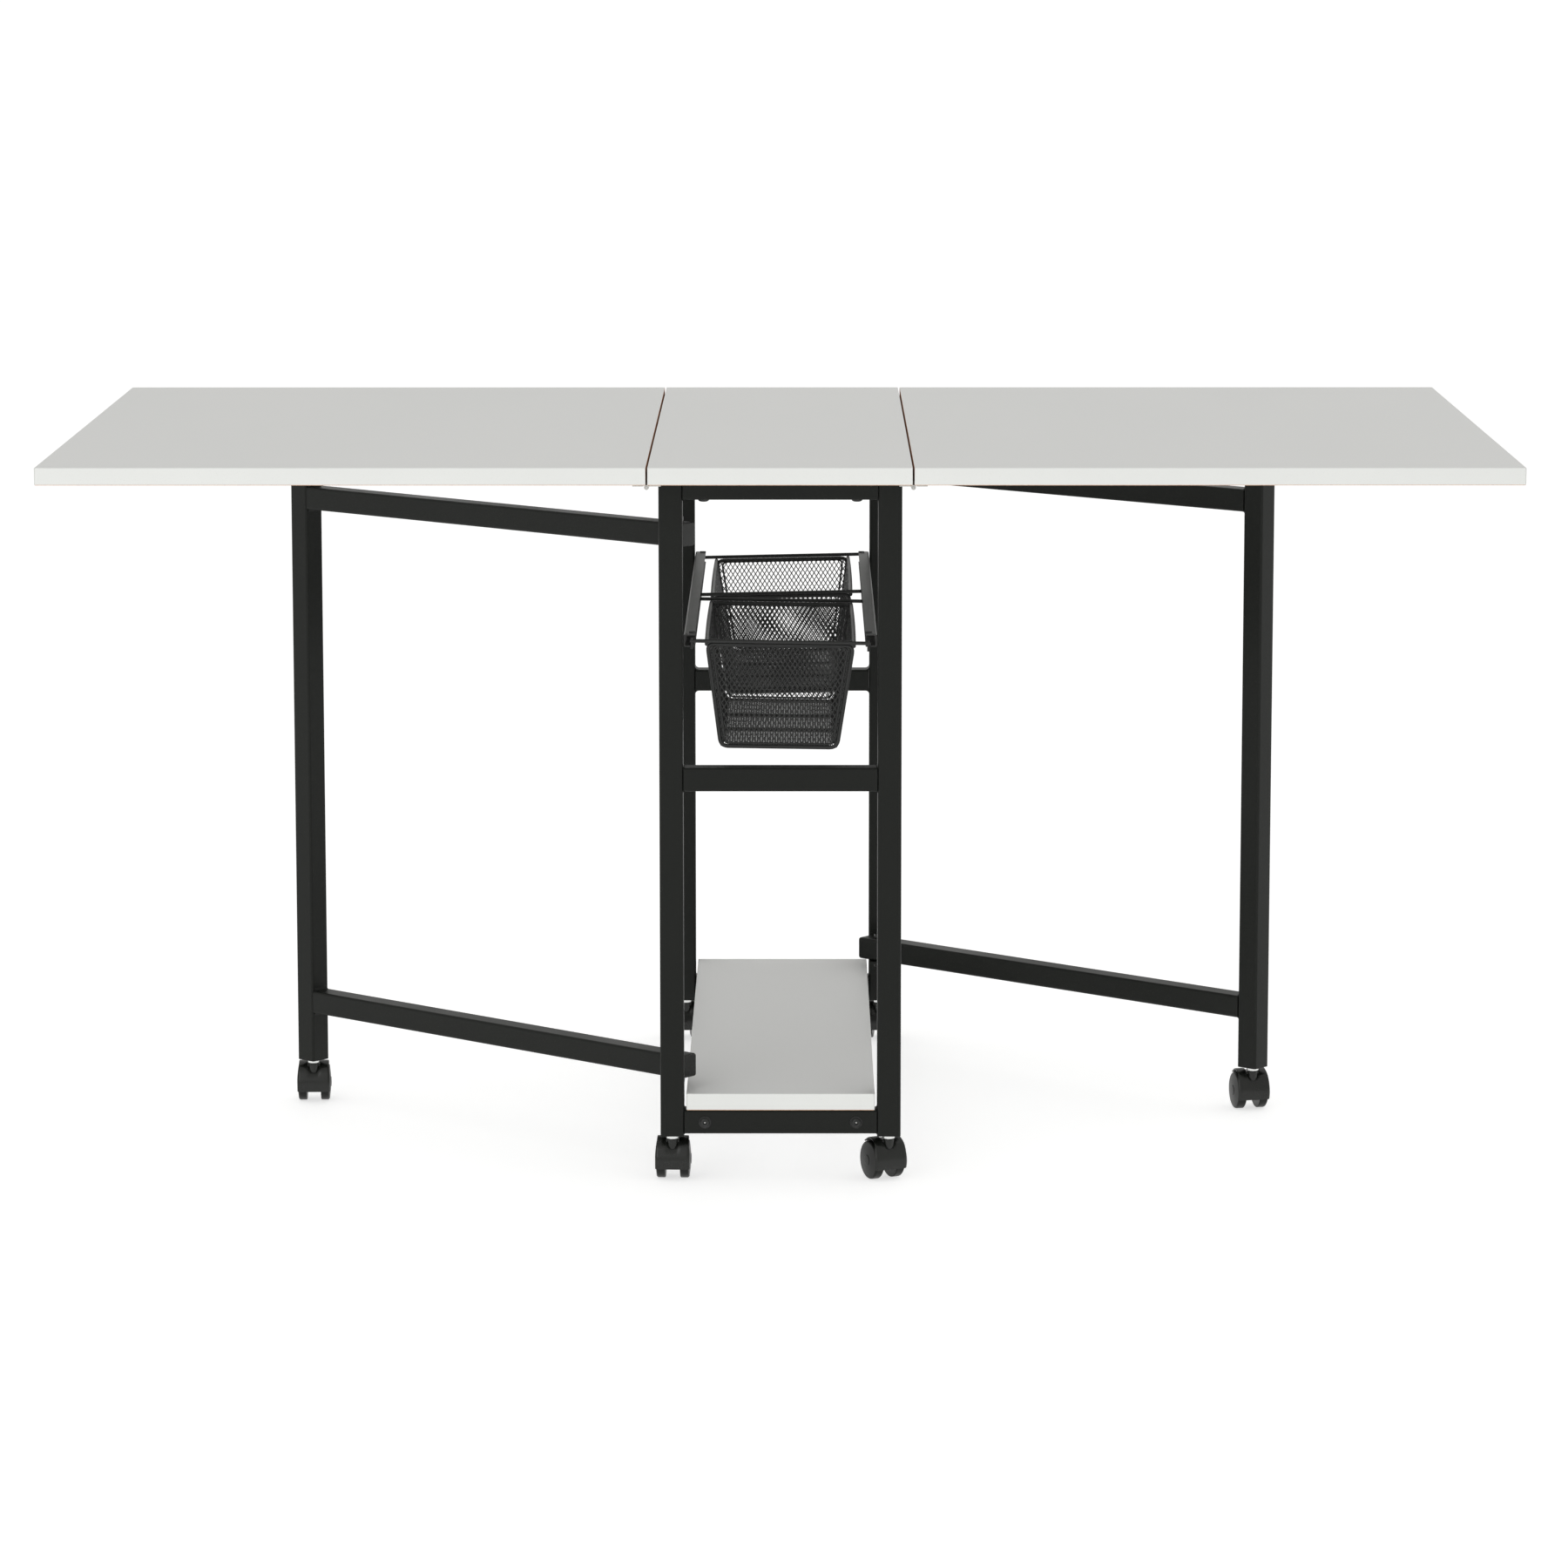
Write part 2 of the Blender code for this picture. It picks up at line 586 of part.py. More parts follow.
def add_casters(gates):
    """Each caster turns on its stem; its angle is how far its trail is turned from straight back."""
    hood, stem, wheels = hood_mesh(), stem_mesh(), wheels_mesh()
    spots = {
        "front_left": ((-POST_X, FRONT_POST_Y, 0), -2, None),
        "front_right": ((POST_X, FRONT_POST_Y, 0), 26, None),
        "back_left": ((-POST_X, BACK_POST_Y, 0), 8, None),
        "back_right": ((POST_X, BACK_POST_Y, 0), -6, None),
        "left_gate": ((GATE_REACH, 0, 0), 2, gates["left"]),
        "right_gate": ((GATE_REACH, 0, 0), 13, gates["right"]),
    }
    for name, (place, degrees, parent) in spots.items():
        add_part(f"{name}_caster_stem", stem, "zinc", place, parent=parent)
        turn = math.radians(degrees) - (parent.rotation_euler.z if parent else 0)
        swivel = add_pivot(f"{name}_caster_swivel", place, turn, parent)
        add_part(f"{name}_caster_hood", hood, "nylon", parent=swivel)
        axle = (0, CASTER_TRAIL, WHEEL_RADIUS)
        add_part(f"{name}_caster_wheels", wheels, "nylon", axle, parent=swivel)


clear_scene()
PARTS = new_collection("sewing_table")
CUTTERS = new_collection("cutters")
LOOKS = {
    "laminate": new_material("white_laminate", (0.78, 0.78, 0.77), 0.45, 0.0),
    "powder_coat": new_material("black_powder_coat", (0.022, 0.024, 0.022), 0.5, 0.0),
    "nylon": new_material("black_nylon", (0.018, 0.020, 0.018), 0.42, 0.0),
    "zinc": new_material("zinc_plated_steel", (0.62, 0.62, 0.60), 0.3, 1.0),
    "steel": new_material("plain_steel", (0.45, 0.45, 0.44), 0.35, 1.0),
}
add_top()
add_frame()
add_shelf()
add_runners()
add_baskets()
GATES = {side: add_gate(side, sign) for side, sign in SIDES}
add_casters(GATES)
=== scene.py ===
"""How a drop-leaf sewing table looks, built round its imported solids.

White laminated boards stand on a narrow frame of black square tube, with two swinging gates, two
wire mesh baskets and six twin-wheel casters. Each section makes one kind of piece, in the order
in which the table is put together, and the last ones make the room it stands in.
"""

import json
import math

import bmesh
import bpy
from mathutils import Matrix, Vector


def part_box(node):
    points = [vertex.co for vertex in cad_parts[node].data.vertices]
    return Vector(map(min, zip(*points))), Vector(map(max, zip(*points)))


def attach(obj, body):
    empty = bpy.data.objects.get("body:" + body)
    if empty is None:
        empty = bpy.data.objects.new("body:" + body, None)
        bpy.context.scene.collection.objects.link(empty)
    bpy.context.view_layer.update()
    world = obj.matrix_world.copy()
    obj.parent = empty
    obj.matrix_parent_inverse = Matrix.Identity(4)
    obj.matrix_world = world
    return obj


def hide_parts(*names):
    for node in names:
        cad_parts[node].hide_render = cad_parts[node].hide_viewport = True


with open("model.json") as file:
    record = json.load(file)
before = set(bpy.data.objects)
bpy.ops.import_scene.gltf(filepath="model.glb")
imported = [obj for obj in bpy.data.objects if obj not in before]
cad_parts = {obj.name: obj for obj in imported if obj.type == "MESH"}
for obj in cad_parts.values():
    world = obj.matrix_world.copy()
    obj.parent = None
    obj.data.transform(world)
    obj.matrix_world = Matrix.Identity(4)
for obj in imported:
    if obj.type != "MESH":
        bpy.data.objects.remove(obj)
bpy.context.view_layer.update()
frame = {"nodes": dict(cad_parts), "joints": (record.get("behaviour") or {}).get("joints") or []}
joints = {joint["name"]: joint for joint in frame["joints"]}
SIDES = (("left", -1), ("right", 1))


# Boards. The centre panel, the leaves and the shelf are particle board with white melamine faces.
# White bands are glued round the outside edges, and the edges that face each other at a seam are
# left as they were sawn.

BAND_THICK = 0.0006
BAND_ROUND = 0.0005
BAND_LIFT = 0.0006
FACE_EDGE = 0.00015


def noise(tree, where, scale, detail=2.0, roughness=0.5):
    """A noise texture on the given coordinates."""
    texture = tree.nodes.new("ShaderNodeTexNoise")
    texture.inputs["Detail"].default_value = detail
    texture.inputs["Roughness"].default_value = roughness
    tree.links.new(where, texture.inputs["Vector"])
    if isinstance(scale, float):
        texture.inputs["Scale"].default_value = scale
    else:
        tree.links.new(scale, texture.inputs["Scale"])
    return texture.outputs["Fac"]


def mapped(tree, value, low, high, to_low=0.0, to_high=1.0):
    """The value stretched from one range to another, and held inside it."""
    node = tree.nodes.new("ShaderNodeMapRange")
    for label, number in (("From Min", low), ("From Max", high), ("To Min", to_low), ("To Max", to_high)):
        node.inputs[label].default_value = number
    tree.links.new(value, node.inputs["Value"])
    return node.outputs["Result"]


def mixed(tree, share, first, second):
    """One colour turned into another by a share from 0 to 1."""
    node = tree.nodes.new("ShaderNodeMix")
    node.data_type = "RGBA"
    tree.links.new(share, node.inputs["Factor"])
    for socket, colour in ((node.inputs["A"], first), (node.inputs["B"], second)):
        if isinstance(colour, tuple):
            socket.default_value = (*colour, 1.0)
        else:
            tree.links.new(colour, socket)
    return node.outputs["Result"]


def new_group(name, inputs, outputs):
    """An empty shader node group with named sockets."""
    tree = bpy.data.node_groups.new(name, "ShaderNodeTree")
    for label, kind in inputs:
        tree.interface.new_socket(name=label, in_out="INPUT", socket_type=f"NodeSocket{kind}")
    for label in outputs:
        tree.interface.new_socket(name=label, in_out="OUTPUT", socket_type="NodeSocketFloat")
    return tree, tree.nodes.new("NodeGroupInput").outputs, tree.nodes.new("NodeGroupOutput").inputs


def make_grain_group():
    """Fine grain of a moulded, sprayed or pressed skin: its height, and the lighter specks in it."""
    tree, given, result = new_group("skin_grain", (("Vector", "Vector"), ("Scale", "Float")),
                                    ("Height", "Specks"))
    tree.links.new(noise(tree, given["Vector"], given["Scale"], 3.0, 0.6), result["Height"])
    spots = noise(tree, given["Vector"], given["Scale"], 1.0, 0.4)
    tree.links.new(mapped(tree, spots, 0.62, 0.74), result["Specks"])
    return tree


def make_handling_group():
    """Wide soft patches where a surface was wiped and handled, and the streaks inside them."""
    tree, given, result = new_group("handling", (("Vector", "Vector"), ("Scale", "Float")), ("Patches",))
    stretch = tree.nodes.new("ShaderNodeMapping")
    stretch.inputs["Scale"].default_value = (1.0, 0.35, 1.0)
    tree.links.new(given["Vector"], stretch.inputs["Vector"])
    patches = noise(tree, stretch.outputs["Vector"], given["Scale"], 4.0, 0.55)
    tree.links.new(mapped(tree, patches, 0.32, 0.68), result["Patches"])
    return tree


SKIN_GRAIN = make_grain_group()
HANDLING = make_handling_group()


def placed_group(tree, group, where, scale):
    """A shader node group put into a material at one scale."""
    node = tree.nodes.new("ShaderNodeGroup")
    node.node_tree = group
    node.inputs["Scale"].default_value = scale
    tree.links.new(where, node.inputs["Vector"])
    return node.outputs


def new_finish(name, metallic=0.0, specular=0.5):
    """A material's node tree, its shader and the piece's own coordinates."""
    material = bpy.data.materials.new(name)
    material.use_nodes = True
    tree = material.node_tree
    shader = tree.nodes["Principled BSDF"]
    shader.inputs["Metallic"].default_value = metallic
    shader.inputs["Specular IOR Level"].default_value = specular
    return material, tree, shader, tree.nodes.new("ShaderNodeTexCoord").outputs["Object"]


def raised(tree, shader, height, strength, distance):
    """Sends a height to the shader as a bump."""
    bump = tree.nodes.new("ShaderNodeBump")
    bump.inputs["Strength"].default_value = strength
    bump.inputs["Distance"].default_value = distance
    tree.links.new(height, bump.inputs["Height"])
    tree.links.new(bump.outputs["Normal"], shader.inputs["Normal"])


def skin(name, dull, bright, specks, rough, grain, bump, patch=6.0, metallic=0.0, specular=0.5):
    """A finish with fine grain in its colour and surface, and wide patches in its gloss."""
    material, tree, shader, where = new_finish(name, metallic, specular)
    fine = placed_group(tree, SKIN_GRAIN, where, grain)
    patches = placed_group(tree, HANDLING, where, patch)["Patches"]
    body = mixed(tree, patches, dull, bright)
    tree.links.new(mixed(tree, fine["Specks"], body, specks), shader.inputs["Base Color"])
    tree.links.new(mapped(tree, patches, 0.0, 1.0, *rough), shader.inputs["Roughness"])
    raised(tree, shader, fine["Height"], *bump)
    return material


def make_sawn_edge():
    """Pressed wood chips as the saw left them."""
    material, tree, shader, where = new_finish("sawn_particle_board", specular=0.25)
    chips = tree.nodes.new("ShaderNodeTexVoronoi")
    chips.inputs["Scale"].default_value = 620.0
    tree.links.new(where, chips.inputs["Vector"])
    shade = mapped(tree, noise(tree, where, 240.0, 3.0), 0.3, 0.7)
    wood = mixed(tree, shade, (0.42, 0.20, 0.11), (0.62, 0.36, 0.22))
    tree.links.new(mixed(tree, mapped(tree, chips.outputs["Distance"], 0.1, 0.9), wood, (0.70, 0.46, 0.30)),
                   shader.inputs["Base Color"])
    shader.inputs["Roughness"].default_value = 0.85
    raised(tree, shader, chips.outputs["Distance"], 0.6, 0.0004)
    return material


MELAMINE = skin("white_melamine", (0.775, 0.778, 0.770), (0.800, 0.800, 0.792), (0.74, 0.74, 0.73),
                (0.40, 0.50), 1400.0, (0.12, 0.00006), 5.0)
EDGE_BAND = skin("white_edge_band", (0.80, 0.81, 0.79), (0.82, 0.83, 0.81), (0.78, 0.79, 0.77),
                 (0.30, 0.40), 900.0, (0.10, 0.00005), 9.0)
SAWN_EDGE = make_sawn_edge()


def new_box(low, high):
    """A plain box between two corners."""
    low, high = Vector(low), Vector(high)
    bm = bmesh.new()
    bmesh.ops.create_cube(bm, size=1)
    bmesh.ops.scale(bm, vec=high - low, verts=bm.verts)
    bmesh.ops.translate(bm, vec=(low + high) / 2, verts=bm.verts)
    return bm


def round_edges(bm, radius, segments=2, keep=lambda edge: True):
    """Rounds every edge that passes the given test."""
    edges = [edge for edge in bm.edges if keep(edge)]
    bmesh.ops.bevel(bm, geom=edges, offset=radius, segments=segments, profile=0.5, affect="EDGES",
                    clamp_overlap=True, material=-1)


def absorb(bm, other):
    """Moves everything in another bmesh into this one."""
    mesh = bpy.data.meshes.new("absorbed")
    other.to_mesh(mesh)
    other.free()
    bm.from_mesh(mesh)
    bpy.data.meshes.remove(mesh)


def add_piece(name, bm, material, body, stands_for=(), sharp=40.0, even=True):
    """A named piece from a finished bmesh. Wide faces keep flat shading beside rounded edges."""
    bmesh.ops.recalc_face_normals(bm, faces=bm.faces)
    mesh = bpy.data.meshes.new(name)
    bm.to_mesh(mesh)
    bm.free()
    mesh.shade_smooth()
    mesh.set_sharp_from_angle(angle=math.radians(sharp))
    mesh.materials.append(material)
    piece = bpy.data.objects.new(name, mesh)
    bpy.context.scene.collection.objects.link(piece)
    if even:
        weighted = piece.modifiers.new("even_shading", "WEIGHTED_NORMAL")
        weighted.keep_sharp = True
    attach(piece, body)
    if stands_for:
        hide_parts(*stands_for)
    return piece


def add_board(node, body, banded):
    """One board: its faces, its sawn edges, and a glued band on each of the named sides."""
    low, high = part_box(node)
    sides = {"x-": (0, low), "x+": (0, high), "y-": (1, low), "y+": (1, high)}
    inner_low, inner_high = low.copy(), high.copy()
    for side in banded:
        axis, corner = sides[side]
        inner = inner_low if corner is low else inner_high
        inner[axis] += BAND_THICK if corner is low else -BAND_THICK
    panel = new_box(inner_low, inner_high)
    round_edges(panel, FACE_EDGE)
    panel.normal_update()
    for face in panel.faces:
        face.material_index = 1 if abs(face.normal.z) < 0.5 else 0
    board = add_piece(f"{node}_board", panel, MELAMINE, body, [node])
    board.data.materials.append(SAWN_EDGE)
    bands = bmesh.new()
    for side in banded:
        axis, corner = sides[side]
        band_low, band_high = low.copy(), high.copy()
        if axis == 1:
            band_low.x, band_high.x = inner_low.x, inner_high.x
        if corner is low:
            band_high[axis] = inner_low[axis]
        else:
            band_low[axis] = inner_high[axis]
        band_low.z += BAND_LIFT
        strip = new_box(band_low, band_high)
        round_edges(strip, BAND_ROUND, 3, lambda edge: all(
            abs(vert.co[axis] - corner[axis]) < FACE_EDGE for vert in edge.verts))
        absorb(bands, strip)
    add_piece(f"{node}_edge_bands", bands, EDGE_BAND, body)


add_board("centre_top", "root", ("y-", "y+"))
add_board("left_leaf", "left_leaf", ("x-", "y-", "y+"))
add_board("right_leaf", "right_leaf", ("x+", "y-", "y+"))
add_board("bottom_shelf", "root", ("x-", "x+", "y-", "y+"))


# Hinges. A continuous hinge of nickel-plated steel joins each leaf to the centre panel from below.
# Small countersunk screws hold both of its plates, and their heads sit nearly flush.

HINGE_SCREWS = 10
SCREW_RADIUS = 0.0026
SCREW_INSET = 0.0090
SCREW_LIFT = 0.0011
SCREW_TURN = 0.7
NICKEL = skin("nickel_plate", (0.46, 0.46, 0.44), (0.60, 0.59, 0.57), (0.38, 0.37, 0.35),
              (0.26, 0.42), 700.0, (0.10, 0.00004), 30.0, metallic=1.0)


def dress(nodes, material):
    """Gives solids that are shown as they are a finish of their own."""
    for node in nodes:
        for slot in frame["nodes"][node].material_slots:
            slot.material = material


def spun(profile, steps):
    """A solid of revolution about +Z from a few (radius, height) points that start and end on the axis."""
    bm = bmesh.new()
    line = [bm.verts.new((radius, 0, height)) for radius, height in profile]
    edges = [bm.edges.new(pair) for pair in zip(line, line[1:])]
    bmesh.ops.spin(bm, geom=line + edges, cent=(0, 0, 0), axis=(0, 0, 1), angle=math.tau,
                   steps=steps, use_merge=True)
    bmesh.ops.remove_doubles(bm, verts=bm.verts, dist=0.00001)
    return bm


def cross_slot(bm, reach, depth):
    """Presses a round driver recess into the middle of a screw head that faces +Z."""
    for vert in bm.verts:
        flat = Vector((vert.co.x, vert.co.y))
        if vert.co.z > 0 and flat.length < reach:
            vert.co.z -= depth
    return bm


def countersunk_screw():
    """A small flat head with a round recess, facing +Z."""
    head = [(0, 0.0006), (0.0009, 0.0006), (0.0011, 0.0006), (0.0023, 0.0004), (SCREW_RADIUS, 0),
            (0.0014, -0.0012), (0, -0.0012)]
    return cross_slot(spun(head, 16), 0.0010, 0.0009)


dress([f"{side}_hinge_{part}" for side, _ in SIDES for part in ("fixed_plate", "leaf_plate", "pin")], NICKEL)
for side, sign in SIDES:
    for plate, body, way in (("fixed_plate", "root", -sign), ("leaf_plate", f"{side}_leaf", sign)):
        low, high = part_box(f"{side}_hinge_{plate}")
        seam = joints[f"{side}_leaf_hinge"]["pos_m"][0]
        plate_low = joints[f"{side}_leaf_hinge"]["pos_m"][2]
        screws = bmesh.new()
        for index in range(HINGE_SCREWS):
            y = low.y + (high.y - low.y) * (index + 0.5) / HINGE_SCREWS
            screw = countersunk_screw()
            turn = Matrix.Rotation(math.pi, 4, "X") @ Matrix.Rotation(SCREW_TURN * index, 4, "Z")
            spot = Matrix.Translation((seam + way * SCREW_INSET, y, plate_low + SCREW_LIFT))
            bmesh.ops.transform(screw, matrix=spot @ turn, verts=screw.verts)
            absorb(screws, screw)
        add_piece(f"{side}_hinge_{plate}_screws", screws, NICKEL, body)


# Frame. Posts, rails and side rails are 25 mm square steel tube with round corners, welded where
# they meet and powder coated in black with a fine texture.

TUBE_CORNER = 0.0026
TUBE_END = 0.0003
WELD = 0.0018
WIDE_WELD = 0.0042
WELD_ROOT = 0.0004
POWDER = skin("black_powder_coat", (0.0074, 0.0084, 0.0070), (0.0093, 0.0104, 0.0088),
              (0.022, 0.024, 0.021), (0.36, 0.45), 1500.0, (0.35, 0.00012), 7.0, specular=0.18)


def tube(low, high, axis):
    """A square tube along one axis, its four long corners rounded and its ends just broken."""
    bm = new_box(low, high)
    along = Vector((0, 0, 0))
    along[axis] = 1
    round_edges(bm, TUBE_CORNER, 6, lambda edge: abs(
        (edge.verts[0].co - edge.verts[1].co).normalized().dot(along)) > 0.99)
    ends = (low[axis], high[axis])
    round_edges(bm, TUBE_END, 2, lambda edge: any(all(
        abs(vert.co[axis] - end) < 1e-5 for vert in edge.verts) for end in ends))
    return bm


def weld_bead(bm, corner, along, out, up, size):
    """A hollow fillet in the corner between two faces, which point along out and up."""
    corner, along, out, up = Vector(corner), Vector(along), Vector(out), Vector(up)
    root = corner - WELD_ROOT * (out + up)
    points = [root, corner + size * out - WELD_ROOT * up]
    for step in range(5):
        angle = math.radians(270 - 22.5 * step)
        points.append(corner + size * (out + up) + size * (out * math.cos(angle) + up * math.sin(angle)))
    points.append(corner + size * up - WELD_ROOT * out)
    face = bm.faces.new([bm.verts.new(point - along / 2) for point in points])
    grown = bmesh.ops.extrude_face_region(bm, geom=[face])["geom"]
    bmesh.ops.translate(bm, vec=along, verts=[item for item in grown if isinstance(item, bmesh.types.BMVert)])


ENDS = ("front", "back")
LEVELS = ("top", "mid", "bottom")
for end in ENDS:
    for side, _ in SIDES:
        node = f"{end}_{side}_post"
        add_piece(f"{node}_tube", tube(*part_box(node), 2), POWDER, "root", [node])
    for level in LEVELS:
        node = f"{end}_{level}_rail"
        add_piece(f"{node}_tube", tube(*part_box(node), 0), POWDER, "root", [node])
for side, _ in SIDES:
    for level in ("top", "bottom"):
        node = f"{side}_{level}_rail"
        add_piece(f"{node}_tube", tube(*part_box(node), 1), POWDER, "root", [node])

for end in ENDS:
    welds = bmesh.new()
    for level in LEVELS:
        low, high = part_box(f"{end}_{level}_rail")
        size = WIDE_WELD if (end, level) == ("back", "mid") else WELD
        run = (0, high.y - low.y - 2 * TUBE_CORNER, 0)
        middle = (low.y + high.y) / 2
        for side, sign in SIDES:
            post_low, post_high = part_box(f"{end}_{side}_post")
            face = post_high.x if sign < 0 else post_low.x
            for z, up in ((high.z, 1), (low.z, -1)):
                if (level, up) != ("top", 1):
                    weld_bead(welds, (face, middle, z), run, (-sign, 0, 0), (0, 0, up), size)
    add_piece(f"{end}_frame_welds", welds, POWDER, "root", even=False)


# Frame screws. Button-head bolts, each with a hex socket, go through the end rails into the side rails,
# and pan-head screws come up through the end rails into the centre panel. A bright nickel dome set in
# each bolt socket is a painted highlight.

BOLT_HEAD = 0.0065
SOCKET = 0.0021
# Profile of a small bright nickel dome in each bolt socket: a painted highlight for the glint at the middle
# of the head.
SOCKET_PAINTED_HIGHLIGHT = ((0, 0.0020), (0.0008, 0.0018), (0.0013, 0.0010), (0, 0.0010))
BLACK_ZINC = skin("black_zinc_screw", (0.016, 0.017, 0.016), (0.024, 0.025, 0.024), (0.06, 0.06, 0.06),
                  (0.24, 0.34), 900.0, (0.12, 0.00005), 40.0, metallic=0.4)


def button_bolt():
    """A domed head on a washer, with a six-sided socket, that faces +Z."""
    profile = [(0, 0.0012), (SOCKET, 0.0012), (SOCKET, 0.0030), (0.0028, 0.0033), (0.0040, 0.0029),
               (0.0049, 0.0021), (0.0052, 0.0011), (0.0053, 0.0009), (0.0062, 0.0009),
               (BOLT_HEAD, 0.0006), (BOLT_HEAD, -0.0003), (0, -0.0003)]
    bm = spun(profile, 36)
    for vert in bm.verts:
        flat = Vector((vert.co.x, vert.co.y))
        if 0 < flat.length < SOCKET * 1.05:
            angle = math.atan2(flat.y, flat.x) % (math.pi / 3) - math.pi / 6
            grow = math.cos(math.pi / 6) / math.cos(angle)
            vert.co.x *= grow
            vert.co.y *= grow
    return bm


def pan_screw():
    """A rounded head with a round recess in the middle, facing +Z."""
    profile = [(0, 0.0030), (0.0012, 0.0030), (0.0015, 0.0030), (0.0035, 0.0028), (0.0052, 0.0020),
               (0.0060, 0.0008), (0.0061, -0.0003), (0, -0.0003)]
    return cross_slot(spun(profile, 24), 0.0013, 0.0014)


def set_screw(bm, screw, spot, towards, turn=0.0):
    """Adds a screw to a group, with its head facing the given way."""
    face = Vector(towards).to_track_quat("Z", "Y").to_matrix().to_4x4()
    matrix = Matrix.Translation(spot) @ face @ Matrix.Rotation(turn, 4, "Z")
    bmesh.ops.transform(screw, matrix=matrix, verts=screw.verts)
    absorb(bm, screw)


for end, way in (("front", -1), ("back", 1)):
    bolts, socket_highlights, screws = bmesh.new(), bmesh.new(), bmesh.new()
    for side, sign in SIDES:
        rail_low, rail_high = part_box(f"{side}_bottom_rail")
        x = (rail_low.x + rail_high.x) / 2
        low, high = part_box(f"{end}_bottom_rail")
        face = low.y if way < 0 else high.y
        spot = (x, face, (low.z + high.z) / 2)
        set_screw(bolts, button_bolt(), spot, (0, way, 0), 0.3 * sign)
        set_screw(socket_highlights, spun(SOCKET_PAINTED_HIGHLIGHT, 12), spot, (0, way, 0))
        low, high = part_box(f"{end}_top_rail")
        set_screw(screws, pan_screw(), (x, (low.y + high.y) / 2, low.z), (0, 0, -1), 0.5 * sign)
    add_piece(f"{end}_rail_bolts", bolts, BLACK_ZINC, "root")
    # The nickel domes in the sockets are a painted highlight.
    add_piece(f"{end}_bolt_socket_painted_highlights", socket_highlights, NICKEL, "root")
    add_piece(f"{end}_panel_screws", screws, BLACK_ZINC, "root")


# Basket runners. Each is a strip of thin steel folded into a channel that opens towards the middle
# and is welded to both posts. Small tabs pressed out of the top flange stop a basket at each end.

CHANNEL_WALL = 0.0012
CHANNEL_BEND = 0.0016
TAB_FROM_END = 0.012
TAB_SHIFT = 0.003
TAB_HALF_WIDE = 0.0035
TAB_HALF_LONG = 0.0012
TAB_SUNK = 0.0004
TAB_RISE = 0.0011
TAB_EDGE = 0.0005
CHANNEL_PAINT = skin("channel_powder_coat", (0.038, 0.039, 0.037), (0.048, 0.049, 0.047),
                     (0.066, 0.068, 0.065), (0.36, 0.46), 1300.0, (0.25, 0.00010), 9.0, specular=0.5)


def folded_channel(low, high, sign):
    """Folds a strip round three sides of the box, leaving the side towards the middle open."""
    half = CHANNEL_WALL / 2
    open_x, back_x = (high.x, low.x + half) if sign < 0 else (low.x, high.x - half)
    bottom, top = low.z + half, high.z - half
    bm = bmesh.new()
    corners = [(open_x, bottom), (back_x, bottom), (back_x, top), (open_x, top)]
    line = [bm.verts.new((x, low.y, z)) for x, z in corners]
    edges = [bm.edges.new(pair) for pair in zip(line, line[1:])]
    bmesh.ops.bevel(bm, geom=line[1:3], offset=CHANNEL_BEND, segments=4, profile=0.5,
                    affect="VERTICES", clamp_overlap=True, material=-1)
    drawn = bmesh.ops.extrude_edge_only(bm, edges=bm.edges[:])["geom"]
    bmesh.ops.translate(bm, vec=(0, high.y - low.y, 0),
                        verts=[item for item in drawn if isinstance(item, bmesh.types.BMVert)])
    bmesh.ops.recalc_face_normals(bm, faces=bm.faces)
    bmesh.ops.solidify(bm, geom=bm.faces[:], thickness=CHANNEL_WALL)
    return bm


for side, sign in SIDES:
    node = f"{side}_basket_runner"
    low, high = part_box(node)
    add_piece(f"{node}_channel", folded_channel(low, high, sign), CHANNEL_PAINT, "root",
              [node])
    tabs = bmesh.new()
    for y in (low.y + TAB_FROM_END, high.y - TAB_FROM_END):
        middle = (low.x + high.x) / 2 - sign * TAB_SHIFT
        tab = new_box((middle - TAB_HALF_WIDE, y - TAB_HALF_LONG, high.z - TAB_SUNK),
                      (middle + TAB_HALF_WIDE, y + TAB_HALF_LONG, high.z + TAB_RISE))
        round_edges(tab, TAB_EDGE, 2)
        absorb(tabs, tab)
    add_piece(f"{side}_runner_tabs", tabs, CHANNEL_PAINT, "root")


# Baskets. Diamond mesh of expanded steel is bent up to form the floor and long sides, with a flat
# panel closing each end. It is welded to a frame of wire, and cross wires hang it in the runners.

STRAND = 0.0010
STRAND_THICK = 0.0006
CELL_WIDE = 0.0053
CELL_TALL = 0.0082
FRAME_WIRE = 0.0021
HEM_WIRE = 0.0011
CROSS_WIRE = 0.0020
BEND_WIRE = 0.0016
HOOK_WIRE = 0.0017
HOOK_RISE = 0.003
HOOK_DROP = 0.0085
FRAME_CORNER = 0.008
HEM_CORNER = 0.007
RIB_CORNER = 0.009
RIB_RISE = 0.024
RIM_STEPS = 4
END_INSET = 0.003
RIM_DROP = 0.0035
BASKET_BEND = 0.012
WALL_BULGE = 0.0008
RIB_SHARES = (0.35, 0.65)
LEAN_DEGREES = {"front": 0.85, "back": -1.2}
END_TOP_HALF = 0.0765
END_BOTTOM_HALF = 0.0610
FLOOR_INSET = 0.012
WIRE_COAT = skin("black_wire_coat", (0.0070, 0.0074, 0.0069), (0.0095, 0.0100, 0.0094),
                 (0.018, 0.019, 0.018), (0.34, 0.44), 1600.0, (0.12, 0.00005), 14.0, specular=0.45)


def diamond_sheet(wide, tall, cell_wide, cell_tall):
    """A flat sheet in X and Y, centred on the origin, made up of diamond cells."""
    across, up = round(wide / cell_wide), round(tall / cell_tall)
    bm = bmesh.new()
    bmesh.ops.create_grid(bm, x_segments=across, y_segments=up, size=0.5)
    bmesh.ops.scale(bm, vec=(wide, tall, 1), verts=bm.verts)
    straight = [edge for edge in bm.edges if not edge.is_boundary]
    bmesh.ops.poke(bm, faces=bm.faces[:])
    bmesh.ops.dissolve_edges(bm, edges=straight, use_verts=False)
    return bm


